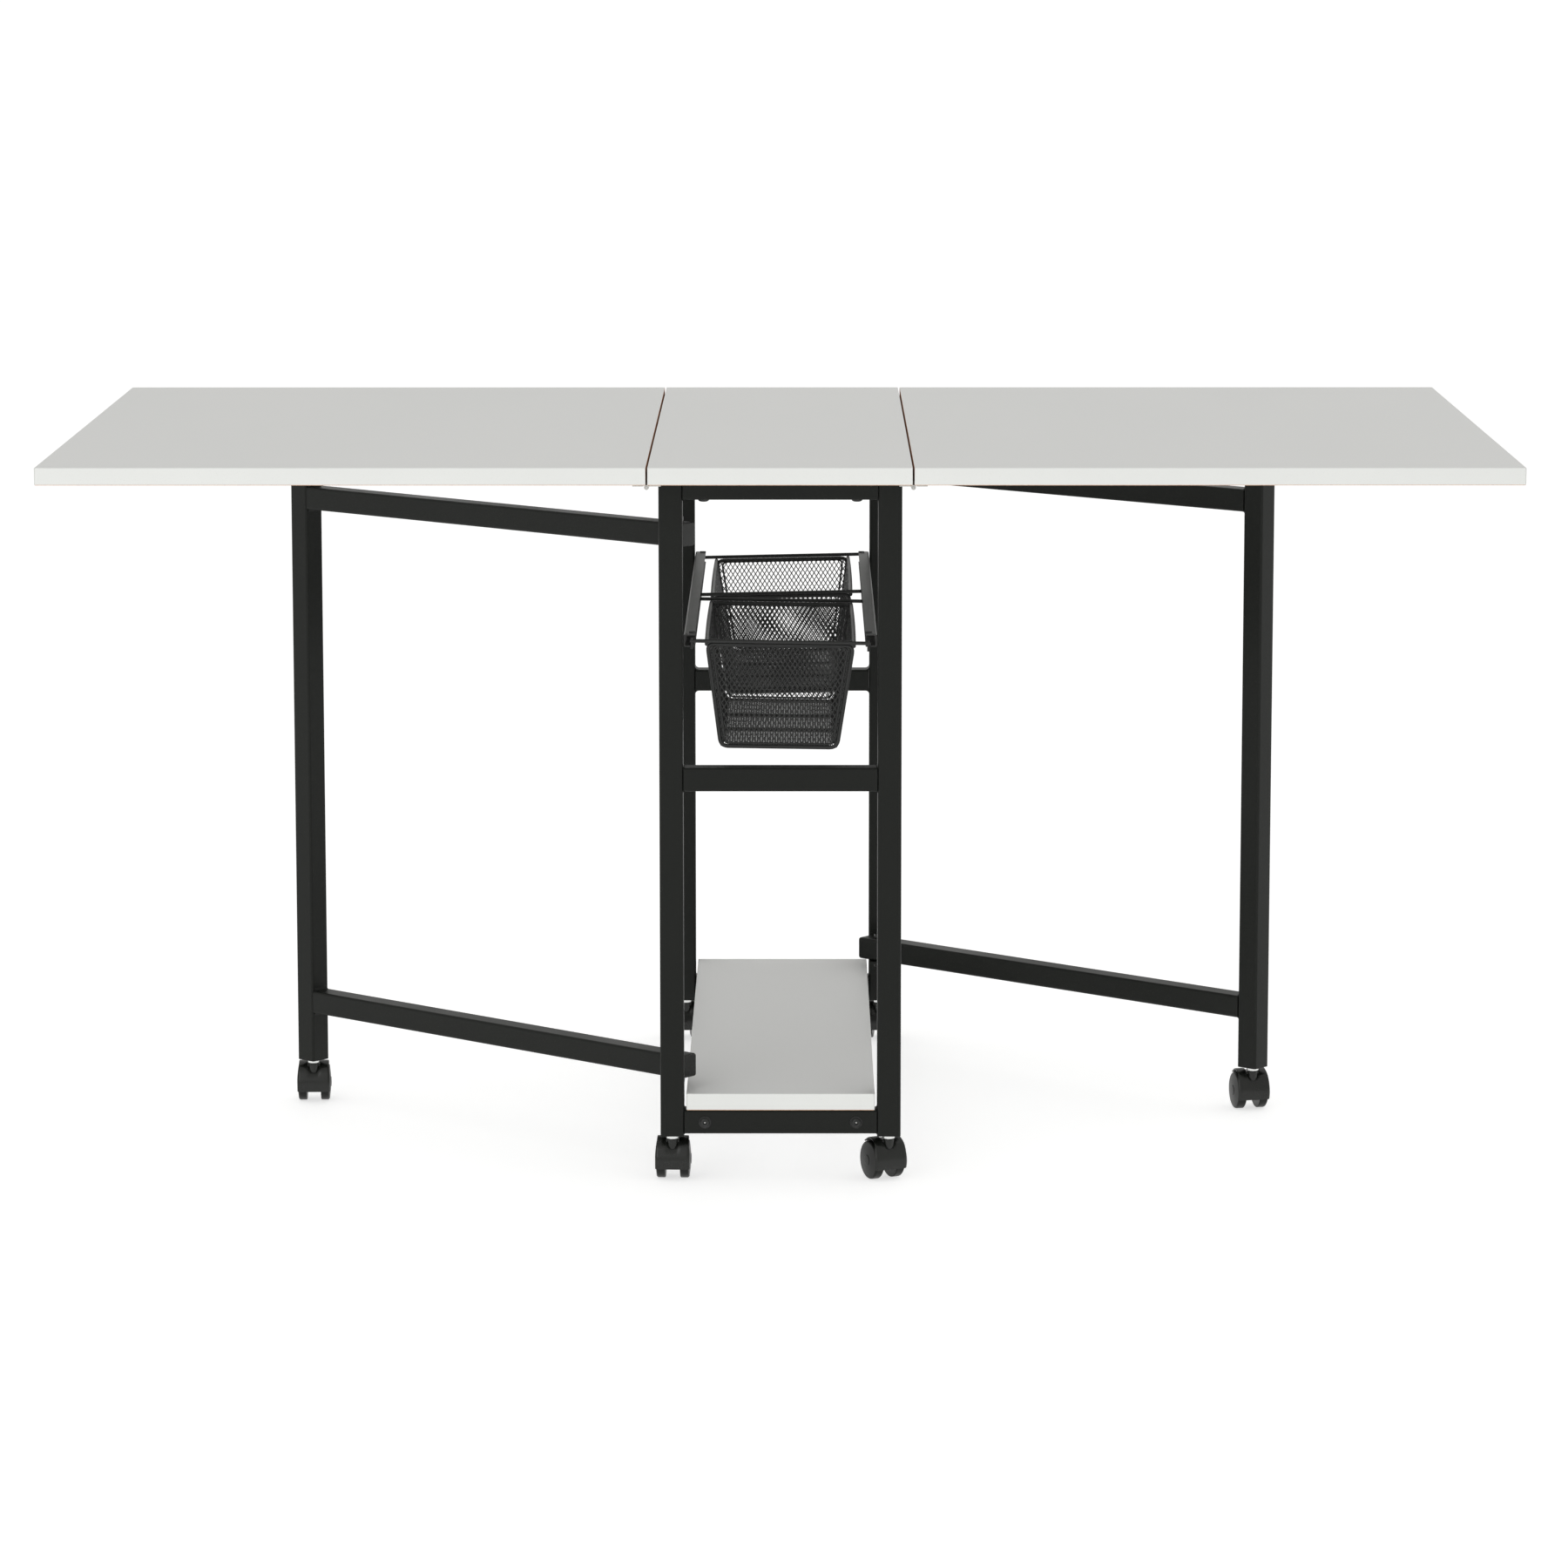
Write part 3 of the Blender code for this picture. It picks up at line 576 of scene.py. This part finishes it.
def opened(bm):
    """Opens every cell of a flat sheet and leaves the strands between them."""
    cells = bm.faces[:]
    bmesh.ops.inset_individual(bm, faces=cells, thickness=STRAND / 2, depth=0, use_even_offset=True)
    bmesh.ops.delete(bm, geom=cells, context="FACES_ONLY")
    return bm


def thickened(bm):
    """Gives an opened sheet the thickness of its strands."""
    bmesh.ops.recalc_face_normals(bm, faces=bm.faces)
    bmesh.ops.solidify(bm, geom=bm.faces[:], thickness=STRAND_THICK)
    return bm


def wire(points, radius, closed=False, steps=10):
    """Round wire along a path of points, with rounded turns already in them."""
    curve = bpy.data.curves.new("wire", "CURVE")
    curve.dimensions = "3D"
    curve.bevel_depth = radius
    curve.bevel_resolution = (steps - 4) // 2
    curve.use_fill_caps = True
    spline = curve.splines.new("POLY")
    spline.points.add(len(points) - 1)
    for point, place in zip(spline.points, points):
        point.co = (*place, 1)
    spline.use_cyclic_u = closed
    guide = bpy.data.objects.new("wire", curve)
    bpy.context.scene.collection.objects.link(guide)
    mesh = bpy.data.meshes.new_from_object(guide.evaluated_get(bpy.context.evaluated_depsgraph_get()))
    bpy.data.objects.remove(guide)
    bm = bmesh.new()
    bm.from_mesh(mesh)
    bpy.data.meshes.remove(mesh)
    bmesh.ops.remove_doubles(bm, verts=bm.verts, dist=0.00001)
    return bm


def turned_corners(corners, radius, steps=5, closed=True):
    """The corners of a path, each swapped for points on a round bend."""
    points = []
    count = len(corners)
    for index, corner in enumerate(corners):
        if not closed and index in (0, count - 1):
            points.append(Vector(corner))
            continue
        corner = Vector(corner)
        before = (Vector(corners[index - 1]) - corner).normalized()
        after = (Vector(corners[(index + 1) % count]) - corner).normalized()
        start, end = corner + radius * before, corner + radius * after
        for step in range(steps + 1):
            t = step / steps
            points.append(start * (1 - t) ** 2 + corner * 2 * t * (1 - t) + end * t ** 2)
    return points


def end_panel(y, top, height):
    """The mesh of one end of a basket, cut to its sloping sides."""
    bm = diamond_sheet(2 * END_TOP_HALF + CELL_WIDE, height, CELL_WIDE, CELL_TALL)
    slope = (END_TOP_HALF - END_BOTTOM_HALF) / height
    for sign in (-1, 1):
        edge = Vector((sign * (END_TOP_HALF + END_BOTTOM_HALF) / 2, 0, 0))
        out = Vector((sign, -slope, 0))
        bmesh.ops.bisect_plane(bm, geom=bm.verts[:] + bm.edges[:] + bm.faces[:], dist=1e-6,
                               plane_co=edge, plane_no=out, clear_outer=True)
    turn = Matrix.Translation((0, y, top - height / 2)) @ Matrix.Rotation(math.pi / 2, 4, "X")
    bmesh.ops.transform(opened(bm), matrix=turn, verts=bm.verts)
    return thickened(bm)


def trough(length, top, height):
    """The mesh floor and long sides, bent from one sheet about its length."""
    side = math.hypot(height, END_TOP_HALF - END_BOTTOM_HALF)
    spread = 2 * side + 2 * END_BOTTOM_HALF
    bm = opened(diamond_sheet(length, spread, CELL_TALL, CELL_WIDE))
    lean = (END_TOP_HALF - END_BOTTOM_HALF) / height
    for vert in bm.verts:
        along, run = vert.co.x, vert.co.y
        sign = 1 if run > 0 else -1
        past = abs(run) - END_BOTTOM_HALF
        rise = min(max(past, 0) * height / side, height)
        if past < 0:
            x = run
        else:
            x = sign * (END_BOTTOM_HALF + lean * rise)
        near = max(0.0, 1 - abs(past) / BASKET_BEND)
        x -= sign * 0.25 * near ** 2 * BASKET_BEND
        z = top - height + rise + 0.25 * near ** 2 * BASKET_BEND
        share = 2 * along / length
        x += sign * WALL_BULGE * (1 - share ** 2) * (rise / height) ** 4
        taper = 1 - (1 - rise / height) * 2 * FLOOR_INSET / length
        vert.co = (x, along * taper, z)
    return thickened(bm)


for end in ENDS:
    node = f"{end}_basket"
    low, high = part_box(node)
    top = high.z - CROSS_WIRE
    height = top - low.z
    middle = (low.y + high.y) / 2
    half = (high.y - low.y) / 2 - 2 * CROSS_WIRE
    reach = high.x
    lean = Matrix.Translation((0, middle, top)) @ Matrix.Rotation(
        math.radians(LEAN_DEGREES[end]), 4, "Y") @ Matrix.Translation((0, 0, -top))

    mesh = trough(2 * half - 0.004, top - 0.003, height - 0.0052)
    for way in (-1, 1):
        absorb(mesh, end_panel(way * (half - END_INSET), top - RIM_DROP, height - 0.0056))
    bmesh.ops.transform(mesh, matrix=lean, verts=mesh.verts)
    add_piece(f"{node}_mesh", mesh, WIRE_COAT, node, [node], sharp=50.0, even=False)

    wires = bmesh.new()
    for way in (-1, 1):
        y = way * (half - END_INSET)
        outline = [(-END_TOP_HALF, y, top - RIM_DROP), (END_TOP_HALF, y, top - RIM_DROP),
                   (END_BOTTOM_HALF, y, low.z + FRAME_WIRE), (-END_BOTTOM_HALF, y, low.z + FRAME_WIRE)]
        absorb(wires, wire(turned_corners(outline, FRAME_CORNER), FRAME_WIRE, True))
        hem = [(x * 0.925, place_y, top - 0.002 - (top - z) * 0.95) for x, place_y, z in outline]
        absorb(wires, wire(turned_corners(hem, HEM_CORNER), HEM_WIRE, True, 8))
        y = way * (half + CROSS_WIRE)
        absorb(wires, wire([(-reach + 0.001, y, top), (reach - 0.001, y, top)], CROSS_WIRE))
        for sign in (-1, 1):
            stub = sign * (reach - 0.003)
            absorb(wires, wire([(stub, y, top + HOOK_RISE), (stub, y, top - HOOK_DROP)], HOOK_WIRE))
    for sign in (-1, 1):
        x = sign * (END_TOP_HALF + 0.0005)
        rim = []
        for step in range(-RIM_STEPS, RIM_STEPS + 1):
            share = step / RIM_STEPS
            rim.append((x + sign * WALL_BULGE * (1 - share ** 2), half * share, top - RIM_DROP))
        absorb(wires, wire(rim, FRAME_WIRE))
        bend = [(sign * END_BOTTOM_HALF * 0.97, half * step - step * 0.004, top - height + 0.0045)
                for step in (-1, 1)]
        absorb(wires, wire(bend, BEND_WIRE))
    for share in RIB_SHARES:
        y = half * (2 * share - 1)
        rib = [(-END_BOTTOM_HALF - 0.003, y, top - height + RIB_RISE),
               (-END_BOTTOM_HALF, y, top - height + 0.0025),
               (END_BOTTOM_HALF, y, top - height + 0.0025),
               (END_BOTTOM_HALF + 0.003, y, top - height + RIB_RISE)]
        absorb(wires, wire(turned_corners(rib, RIB_CORNER, closed=False), FRAME_WIRE))
    bmesh.ops.transform(wires, matrix=lean, verts=wires.verts)
    add_piece(f"{node}_wire_frame", wires, WIRE_COAT, node, sharp=50.0, even=False)


# Gates. Each gate is a square tube leg on two rails that swing about bolts in angle brackets on a
# post. Black plastic plugs close the open tube ends, and a pad under each leaf meets its leg.

PLUG_FLANGE = 0.0014
PLUG_EDGE = 0.0006
PLUG_INSET = 0.0004
PAD_CLEARANCE = 0.0004
RAIL_TAIL = 0.0205
GATE_WELD = 0.0032
MOULDED = skin("moulded_black_nylon", (0.0070, 0.0078, 0.0064), (0.0095, 0.0105, 0.0088),
               (0.015, 0.016, 0.014), (0.24, 0.32), 1100.0, (0.12, 0.00005), 18.0, specular=0.40)


def soft_copy(node, edge):
    """A copy of a solid with its loose triangles merged and its sharp edges broken."""
    bm = bmesh.new()
    bm.from_mesh(frame["nodes"][node].data)
    bmesh.ops.remove_doubles(bm, verts=bm.verts, dist=0.00002)
    bmesh.ops.dissolve_limit(bm, angle_limit=math.radians(2), verts=bm.verts[:], edges=bm.edges[:])
    sharp = [item for item in bm.edges if item.is_manifold and item.calc_face_angle() > math.radians(40)]
    bmesh.ops.bevel(bm, geom=sharp, offset=edge, segments=2, profile=0.5, affect="EDGES",
                    clamp_overlap=True, material=-1)
    return bm


for side, sign in SIDES:
    body = f"{side}_gate"
    swing = Vector(joints[f"{side}_gate_swing"]["pos_m"])
    stem_low, stem_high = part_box(f"{side}_gate_caster_stem")
    leg_centre = (stem_low + stem_high) / 2
    run = Vector((leg_centre.x - swing.x, leg_centre.y - swing.y, 0))
    reach = run.length
    local = Matrix.Translation((swing.x, swing.y, 0)) @ Matrix.Rotation(math.atan2(run.y, run.x), 4, "Z")
    low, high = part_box(f"{side}_gate_upper_rail")
    size = high.z - low.z
    leg_low, leg_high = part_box(f"{side}_gate_leg")
    leg = tube(Vector((reach - size / 2, -size / 2, leg_low.z)),
               Vector((reach + size / 2, size / 2, leg_high.z)), 2)
    bmesh.ops.transform(leg, matrix=local, verts=leg.verts)
    add_piece(f"{side}_gate_leg_tube", leg, POWDER, body, [f"{side}_gate_leg"])
    pad = new_box((reach - size / 2, -size / 2, leg_high.z + PAD_CLEARANCE),
                  (reach + size / 2, size / 2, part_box(f"{side}_leaf")[0].z + 0.0002))
    round_edges(pad, TUBE_CORNER, 5, lambda edge: abs(edge.verts[0].co.z - edge.verts[1].co.z) > 0.001)
    bmesh.ops.transform(pad, matrix=local, verts=pad.verts)
    add_piece(f"{side}_leaf_rest_pad", pad, MOULDED, f"{side}_leaf")
    plugs, welds = bmesh.new(), bmesh.new()
    for level in ("upper", "lower"):
        low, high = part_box(f"{side}_gate_{level}_rail")
        rail = tube(Vector((-RAIL_TAIL, -size / 2, low.z)),
                    Vector((reach - size / 2 - 0.0003, size / 2, high.z)), 0)
        bmesh.ops.transform(rail, matrix=local, verts=rail.verts)
        add_piece(f"{side}_gate_{level}_rail_tube", rail, POWDER, body,
                  [f"{side}_gate_{level}_rail"])
        plug = new_box((-RAIL_TAIL - PLUG_FLANGE, -size / 2 + PLUG_INSET, low.z + PLUG_INSET),
                       (-RAIL_TAIL + 0.0005, size / 2 - PLUG_INSET, high.z - PLUG_INSET))
        round_edges(plug, TUBE_CORNER, 4, lambda edge: abs(edge.verts[0].co.x - edge.verts[1].co.x) > 0.001)
        round_edges(plug, PLUG_EDGE, 2, lambda edge: all(
            vert.co.x < -RAIL_TAIL - PLUG_FLANGE / 2 for vert in edge.verts))
        absorb(plugs, plug)
        for z, up in ((high.z, 1), (low.z, -1)):
            weld_bead(welds, (reach - size / 2, 0, z), (0, size - 2 * TUBE_CORNER, 0), (-1, 0, 0), (0, 0, up),
                      GATE_WELD)
        for piece in ("bracket", "bolt"):
            node = f"{side}_{level}_pivot_{piece}"
            look, slot = (POWDER, "powder_coat") if piece == "bracket" else (BLACK_ZINC, "steel")
            add_piece(f"{node}_shown", soft_copy(node, 0.0004), look, "root", [node])
    bmesh.ops.transform(plugs, matrix=local, verts=plugs.verts)
    bmesh.ops.transform(welds, matrix=local, verts=welds.verts)
    add_piece(f"{side}_gate_rail_plugs", plugs, MOULDED, body)
    add_piece(f"{side}_gate_welds", welds, POWDER, body, even=False)


# Casters. Two domed nylon wheels turn on a steel axle under a moulded hood, which covers their
# tread from behind the top down to the front. The hood turns on a zinc-plated stem in the leg.

TREAD_HALF = 0.0152
WHEEL_SHOULDER = 0.0022
WHEEL_INNER = 0.0078
DOME = 0.0192
HOOD_GAP = 0.0006
HOOD_WALL = 0.0014
HOOD_START = 62.0
HOOD_LIP = 0.0125
FENDER_STEPS = 28
SWELL = 0.14
BOSS_RADIUS = 0.0056
NECK_LOW = 0.022
NECK_DROP = 0.0012
# The wheels use a darker copy of the hood's nylon. Its darker colour is painted shade on the wheel sides,
# which face away from the light, and its lower specular is the wheels' own gloss.
SHADED_WHEEL_NYLON = skin("wheel_nylon_painted_shade", (0.0048, 0.0053, 0.0044), (0.0068, 0.0074, 0.0062),
                   (0.011, 0.012, 0.010), (0.30, 0.40), 1100.0, (0.12, 0.00005), 18.0, specular=0.22)
ZINC = skin("bright_zinc", (0.80, 0.81, 0.80), (0.90, 0.91, 0.89), (0.70, 0.70, 0.68),
            (0.22, 0.34), 800.0, (0.08, 0.00004), 60.0, metallic=0.8)


def wheel_pair(radius):
    """Both wheels and their axle about +Z, each side a dome with a stepped hub."""
    shoulder = radius - WHEEL_SHOULDER
    side = [(0, DOME), (0.0050, DOME), (0.0056, DOME - 0.0002), (0.0060, DOME - 0.0006),
            (0.0066, DOME - 0.0005), (0.0110, DOME - 0.0009), (0.0150, DOME - 0.0014), (shoulder, 0.0174)]
    for step in range(1, 5):
        angle = math.radians(90 * step / 4)
        side.append((shoulder + WHEEL_SHOULDER * math.sin(angle),
                     TREAD_HALF + WHEEL_SHOULDER * math.cos(angle)))
    side += [(radius, WHEEL_INNER + 0.0008), (radius - 0.0008, WHEEL_INNER), (0.0032, WHEEL_INNER)]
    profile = side + [(r, -x) for r, x in reversed(side)]
    bm = spun(profile, 48)
    bmesh.ops.rotate(bm, matrix=Matrix.Rotation(math.pi / 2, 3, "Y"), cent=(0, 0, 0), verts=bm.verts)
    return bm


def eased(value, start, end):
    """0 before the start and 1 past the end, with a smooth rise between them."""
    share = min(max((value - start) / (end - start), 0.0), 1.0)
    return share * share * (3 - 2 * share)


def fender_ring(radius, degrees):
    """Points across the cover at one angle about the axle, as (x, distance from the axle)."""
    inner = WHEEL_SHOULDER + HOOD_GAP
    shoulder = radius - WHEEL_SHOULDER
    swell = eased(degrees, 66, 98) * (1 - eased(degrees, 122, 158))
    reach = 40 + 30 * (1 - eased(degrees, 110, 160))
    side = []
    for step in range(6):
        angle = math.radians(reach + (90 - reach) * step / 5)
        side.append((TREAD_HALF + inner * math.cos(angle), shoulder + inner * math.sin(angle)))
    side += [(x, radius + HOOD_GAP) for x in (0.0100, 0.0085, 0.0070, 0.0055, 0.0040)]
    ring = [(x, r * (1 + SWELL * swell * eased(x, 0.0035, 0.0075))) for x, r in side]
    return [(-x, r) for x, r in ring] + [(0, radius + HOOD_GAP)] + [(x, r) for x, r in reversed(ring)]


def fender(radius, trail, lip):
    """The curved cover over both treads, ring by ring about the axle, given its wall."""
    bm = bmesh.new()
    last = 180 + math.degrees(math.asin((radius - lip) / (radius + HOOD_GAP + HOOD_WALL)))
    rings = []
    for step in range(FENDER_STEPS + 1):
        degrees = HOOD_START + (last - HOOD_START) * step / FENDER_STEPS
        out, up = math.cos(math.radians(degrees)), math.sin(math.radians(degrees))
        rings.append([bm.verts.new((x, trail + r * out, radius + r * up))
                      for x, r in fender_ring(radius, degrees)])
    for ring, following in zip(rings, rings[1:]):
        for index in range(len(ring) - 1):
            bm.faces.new((ring[index], ring[index + 1], following[index + 1], following[index]))
    bm.normal_update()
    axle_middle = Vector((0, trail, radius))
    outward = sum(face.normal.dot(face.calc_center_median() - axle_middle) for face in bm.faces)
    if outward < 0:
        bmesh.ops.reverse_faces(bm, faces=bm.faces)
    bmesh.ops.solidify(bm, geom=bm.faces[:], thickness=-HOOD_WALL)
    return bm


def hood(radius, trail, boss_top):
    """The cover with the web between the wheels and the boss that turns on the stem."""
    bm = fender(radius, trail, HOOD_LIP)
    web = bmesh.new()
    bmesh.ops.create_cone(web, cap_ends=True, segments=56, radius1=radius + HOOD_GAP + HOOD_WALL / 2,
                          radius2=radius + HOOD_GAP + HOOD_WALL / 2, depth=2 * (WHEEL_INNER - HOOD_GAP))
    bmesh.ops.rotate(web, matrix=Matrix.Rotation(math.pi / 2, 3, "Y"), cent=(0, 0, 0), verts=web.verts)
    bmesh.ops.translate(web, vec=(0, trail, radius), verts=web.verts)
    cut = bmesh.ops.bisect_plane(web, geom=web.verts[:] + web.edges[:] + web.faces[:], dist=1e-6,
                                 plane_co=(0, 0, HOOD_LIP), plane_no=(0, 0, -1), clear_outer=True)
    rim = [item for item in cut["geom_cut"] if isinstance(item, bmesh.types.BMEdge)]
    bmesh.ops.contextual_create(web, geom=rim)
    absorb(bm, web)
    boss = spun([(0, boss_top), (BOSS_RADIUS - 0.0012, boss_top), (BOSS_RADIUS - 0.0003, boss_top - 0.0004),
                 (BOSS_RADIUS, boss_top - 0.0012), (BOSS_RADIUS, boss_top - 0.0070),
                 (BOSS_RADIUS - 0.0010, boss_top - 0.0105), (BOSS_RADIUS - 0.0030, boss_top - 0.0135),
                 (0, boss_top - 0.0150)], 32)
    absorb(bm, boss)
    neck = new_box((-WHEEL_INNER + HOOD_GAP, 0, NECK_LOW),
                   (WHEEL_INNER - HOOD_GAP, trail, boss_top - NECK_DROP))
    round_edges(neck, 0.0012, 3)
    absorb(bm, neck)
    return bm


for place in [f"{end}_{side}" for end in ENDS for side, _ in SIDES] + ["left_gate", "right_gate"]:
    parent = "root" if place.split("_")[0] in ENDS else place
    stem = Vector(joints[f"{place}_swivel"]["pos_m"])
    axle = Vector(joints[f"{place}_roll"]["pos_m"])
    back = Vector((axle.x - stem.x, axle.y - stem.y, 0))
    local = Matrix.Translation((stem.x, stem.y, 0)) @ Matrix.Rotation(math.atan2(-back.x, back.y), 4, "Z")
    node = f"{place}_caster_wheels"
    wheels = wheel_pair(axle.z)
    bmesh.ops.transform(wheels, matrix=local @ Matrix.Translation((0, back.length, axle.z)),
                        verts=wheels.verts)
    # The wheels wear the nylon copy darkened with painted shade.
    add_piece(f"{node}_pair", wheels, SHADED_WHEEL_NYLON, node, [node], sharp=32.0)
    node = f"{place}_caster_hood"
    cover = hood(axle.z, back.length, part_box(node)[1].z)
    bmesh.ops.transform(cover, matrix=local, verts=cover.verts)
    add_piece(f"{node}_cover", cover, MOULDED, f"{place}_caster_swivel", [node], sharp=32.0)
    node = f"{place}_caster_stem"
    add_piece(f"{node}_shown", soft_copy(node, 0.0003), ZINC, parent, [node])


# Room. A wide pale floor runs out of sight, with even light from all round, one big soft lamp to the
# left of the camera and a faint one over the right leaf.

FLOOR_HALF = 150.0
CAMERA_PLACE = (0.0177, -6.4920, 1.3987)
CAMERA_TURN_DEGREES = (81.015, 0.0198, 0.1269)
LENS = 136.3
SENSOR = 36.0
CAMERA_CLIP = (0.1, 500.0)


def make_floor_finish():
    """An almost white floor that glows a little, so it stays even out to the horizon."""
    material, tree, shader, where = new_finish("pale_floor", specular=0.2)
    shade = mapped(tree, noise(tree, where, 1.5, 3.0), 0.3, 0.7)
    tree.links.new(mixed(tree, shade, (0.56, 0.56, 0.56), (0.58, 0.58, 0.58)), shader.inputs["Base Color"])
    shader.inputs["Roughness"].default_value = 0.7
    shader.inputs["Emission Color"].default_value = (1.0, 1.0, 1.0, 1.0)
    shader.inputs["Emission Strength"].default_value = 0.65
    return material


floor_sheet = bmesh.new()
bmesh.ops.create_grid(floor_sheet, x_segments=1, y_segments=1, size=FLOOR_HALF)
floor_mesh = bpy.data.meshes.new("floor")
floor_sheet.to_mesh(floor_mesh)
floor_sheet.free()
floor_mesh.materials.append(make_floor_finish())
floor = bpy.data.objects.new("floor", floor_mesh)
bpy.context.scene.collection.objects.link(floor)

world = bpy.data.worlds.new("even_light")
world.use_nodes = True
sky = world.node_tree.nodes["Background"]
sky.inputs["Color"].default_value = (0.985, 0.985, 0.965, 1.0)
sky.inputs["Strength"].default_value = 0.70
bpy.context.scene.world = world
bpy.context.scene.view_settings.view_transform = "Standard"


def add_lamp(name, place, aim, wide, tall, power):
    """A soft rectangular lamp turned to face a point."""
    lamp = bpy.data.lights.new(name, "AREA")
    lamp.shape = "RECTANGLE"
    lamp.size = wide
    lamp.size_y = tall
    lamp.energy = power
    holder = bpy.data.objects.new(name, lamp)
    bpy.context.scene.collection.objects.link(holder)
    holder.location = place
    holder.rotation_euler = (Vector(aim) - Vector(place)).to_track_quat("-Z", "Y").to_euler()


add_lamp("front_soft_lamp", (-2.6, -5.4, 2.6), (0, 0, 0.5), 3.2, 2.2, 40.0)
add_lamp("right_fill_lamp", (3.4, 1.4, 2.8), (0, 0, 0.7), 3.0, 3.0, 8.0)

camera_data = bpy.data.cameras.new("camera")
camera_data.sensor_width = SENSOR
camera_data.lens = LENS
camera_data.clip_start, camera_data.clip_end = CAMERA_CLIP
camera = bpy.data.objects.new("camera", camera_data)
bpy.context.scene.collection.objects.link(camera)
camera.location = CAMERA_PLACE
camera.rotation_euler = [math.radians(turn) for turn in CAMERA_TURN_DEGREES]
bpy.context.scene.camera = camera
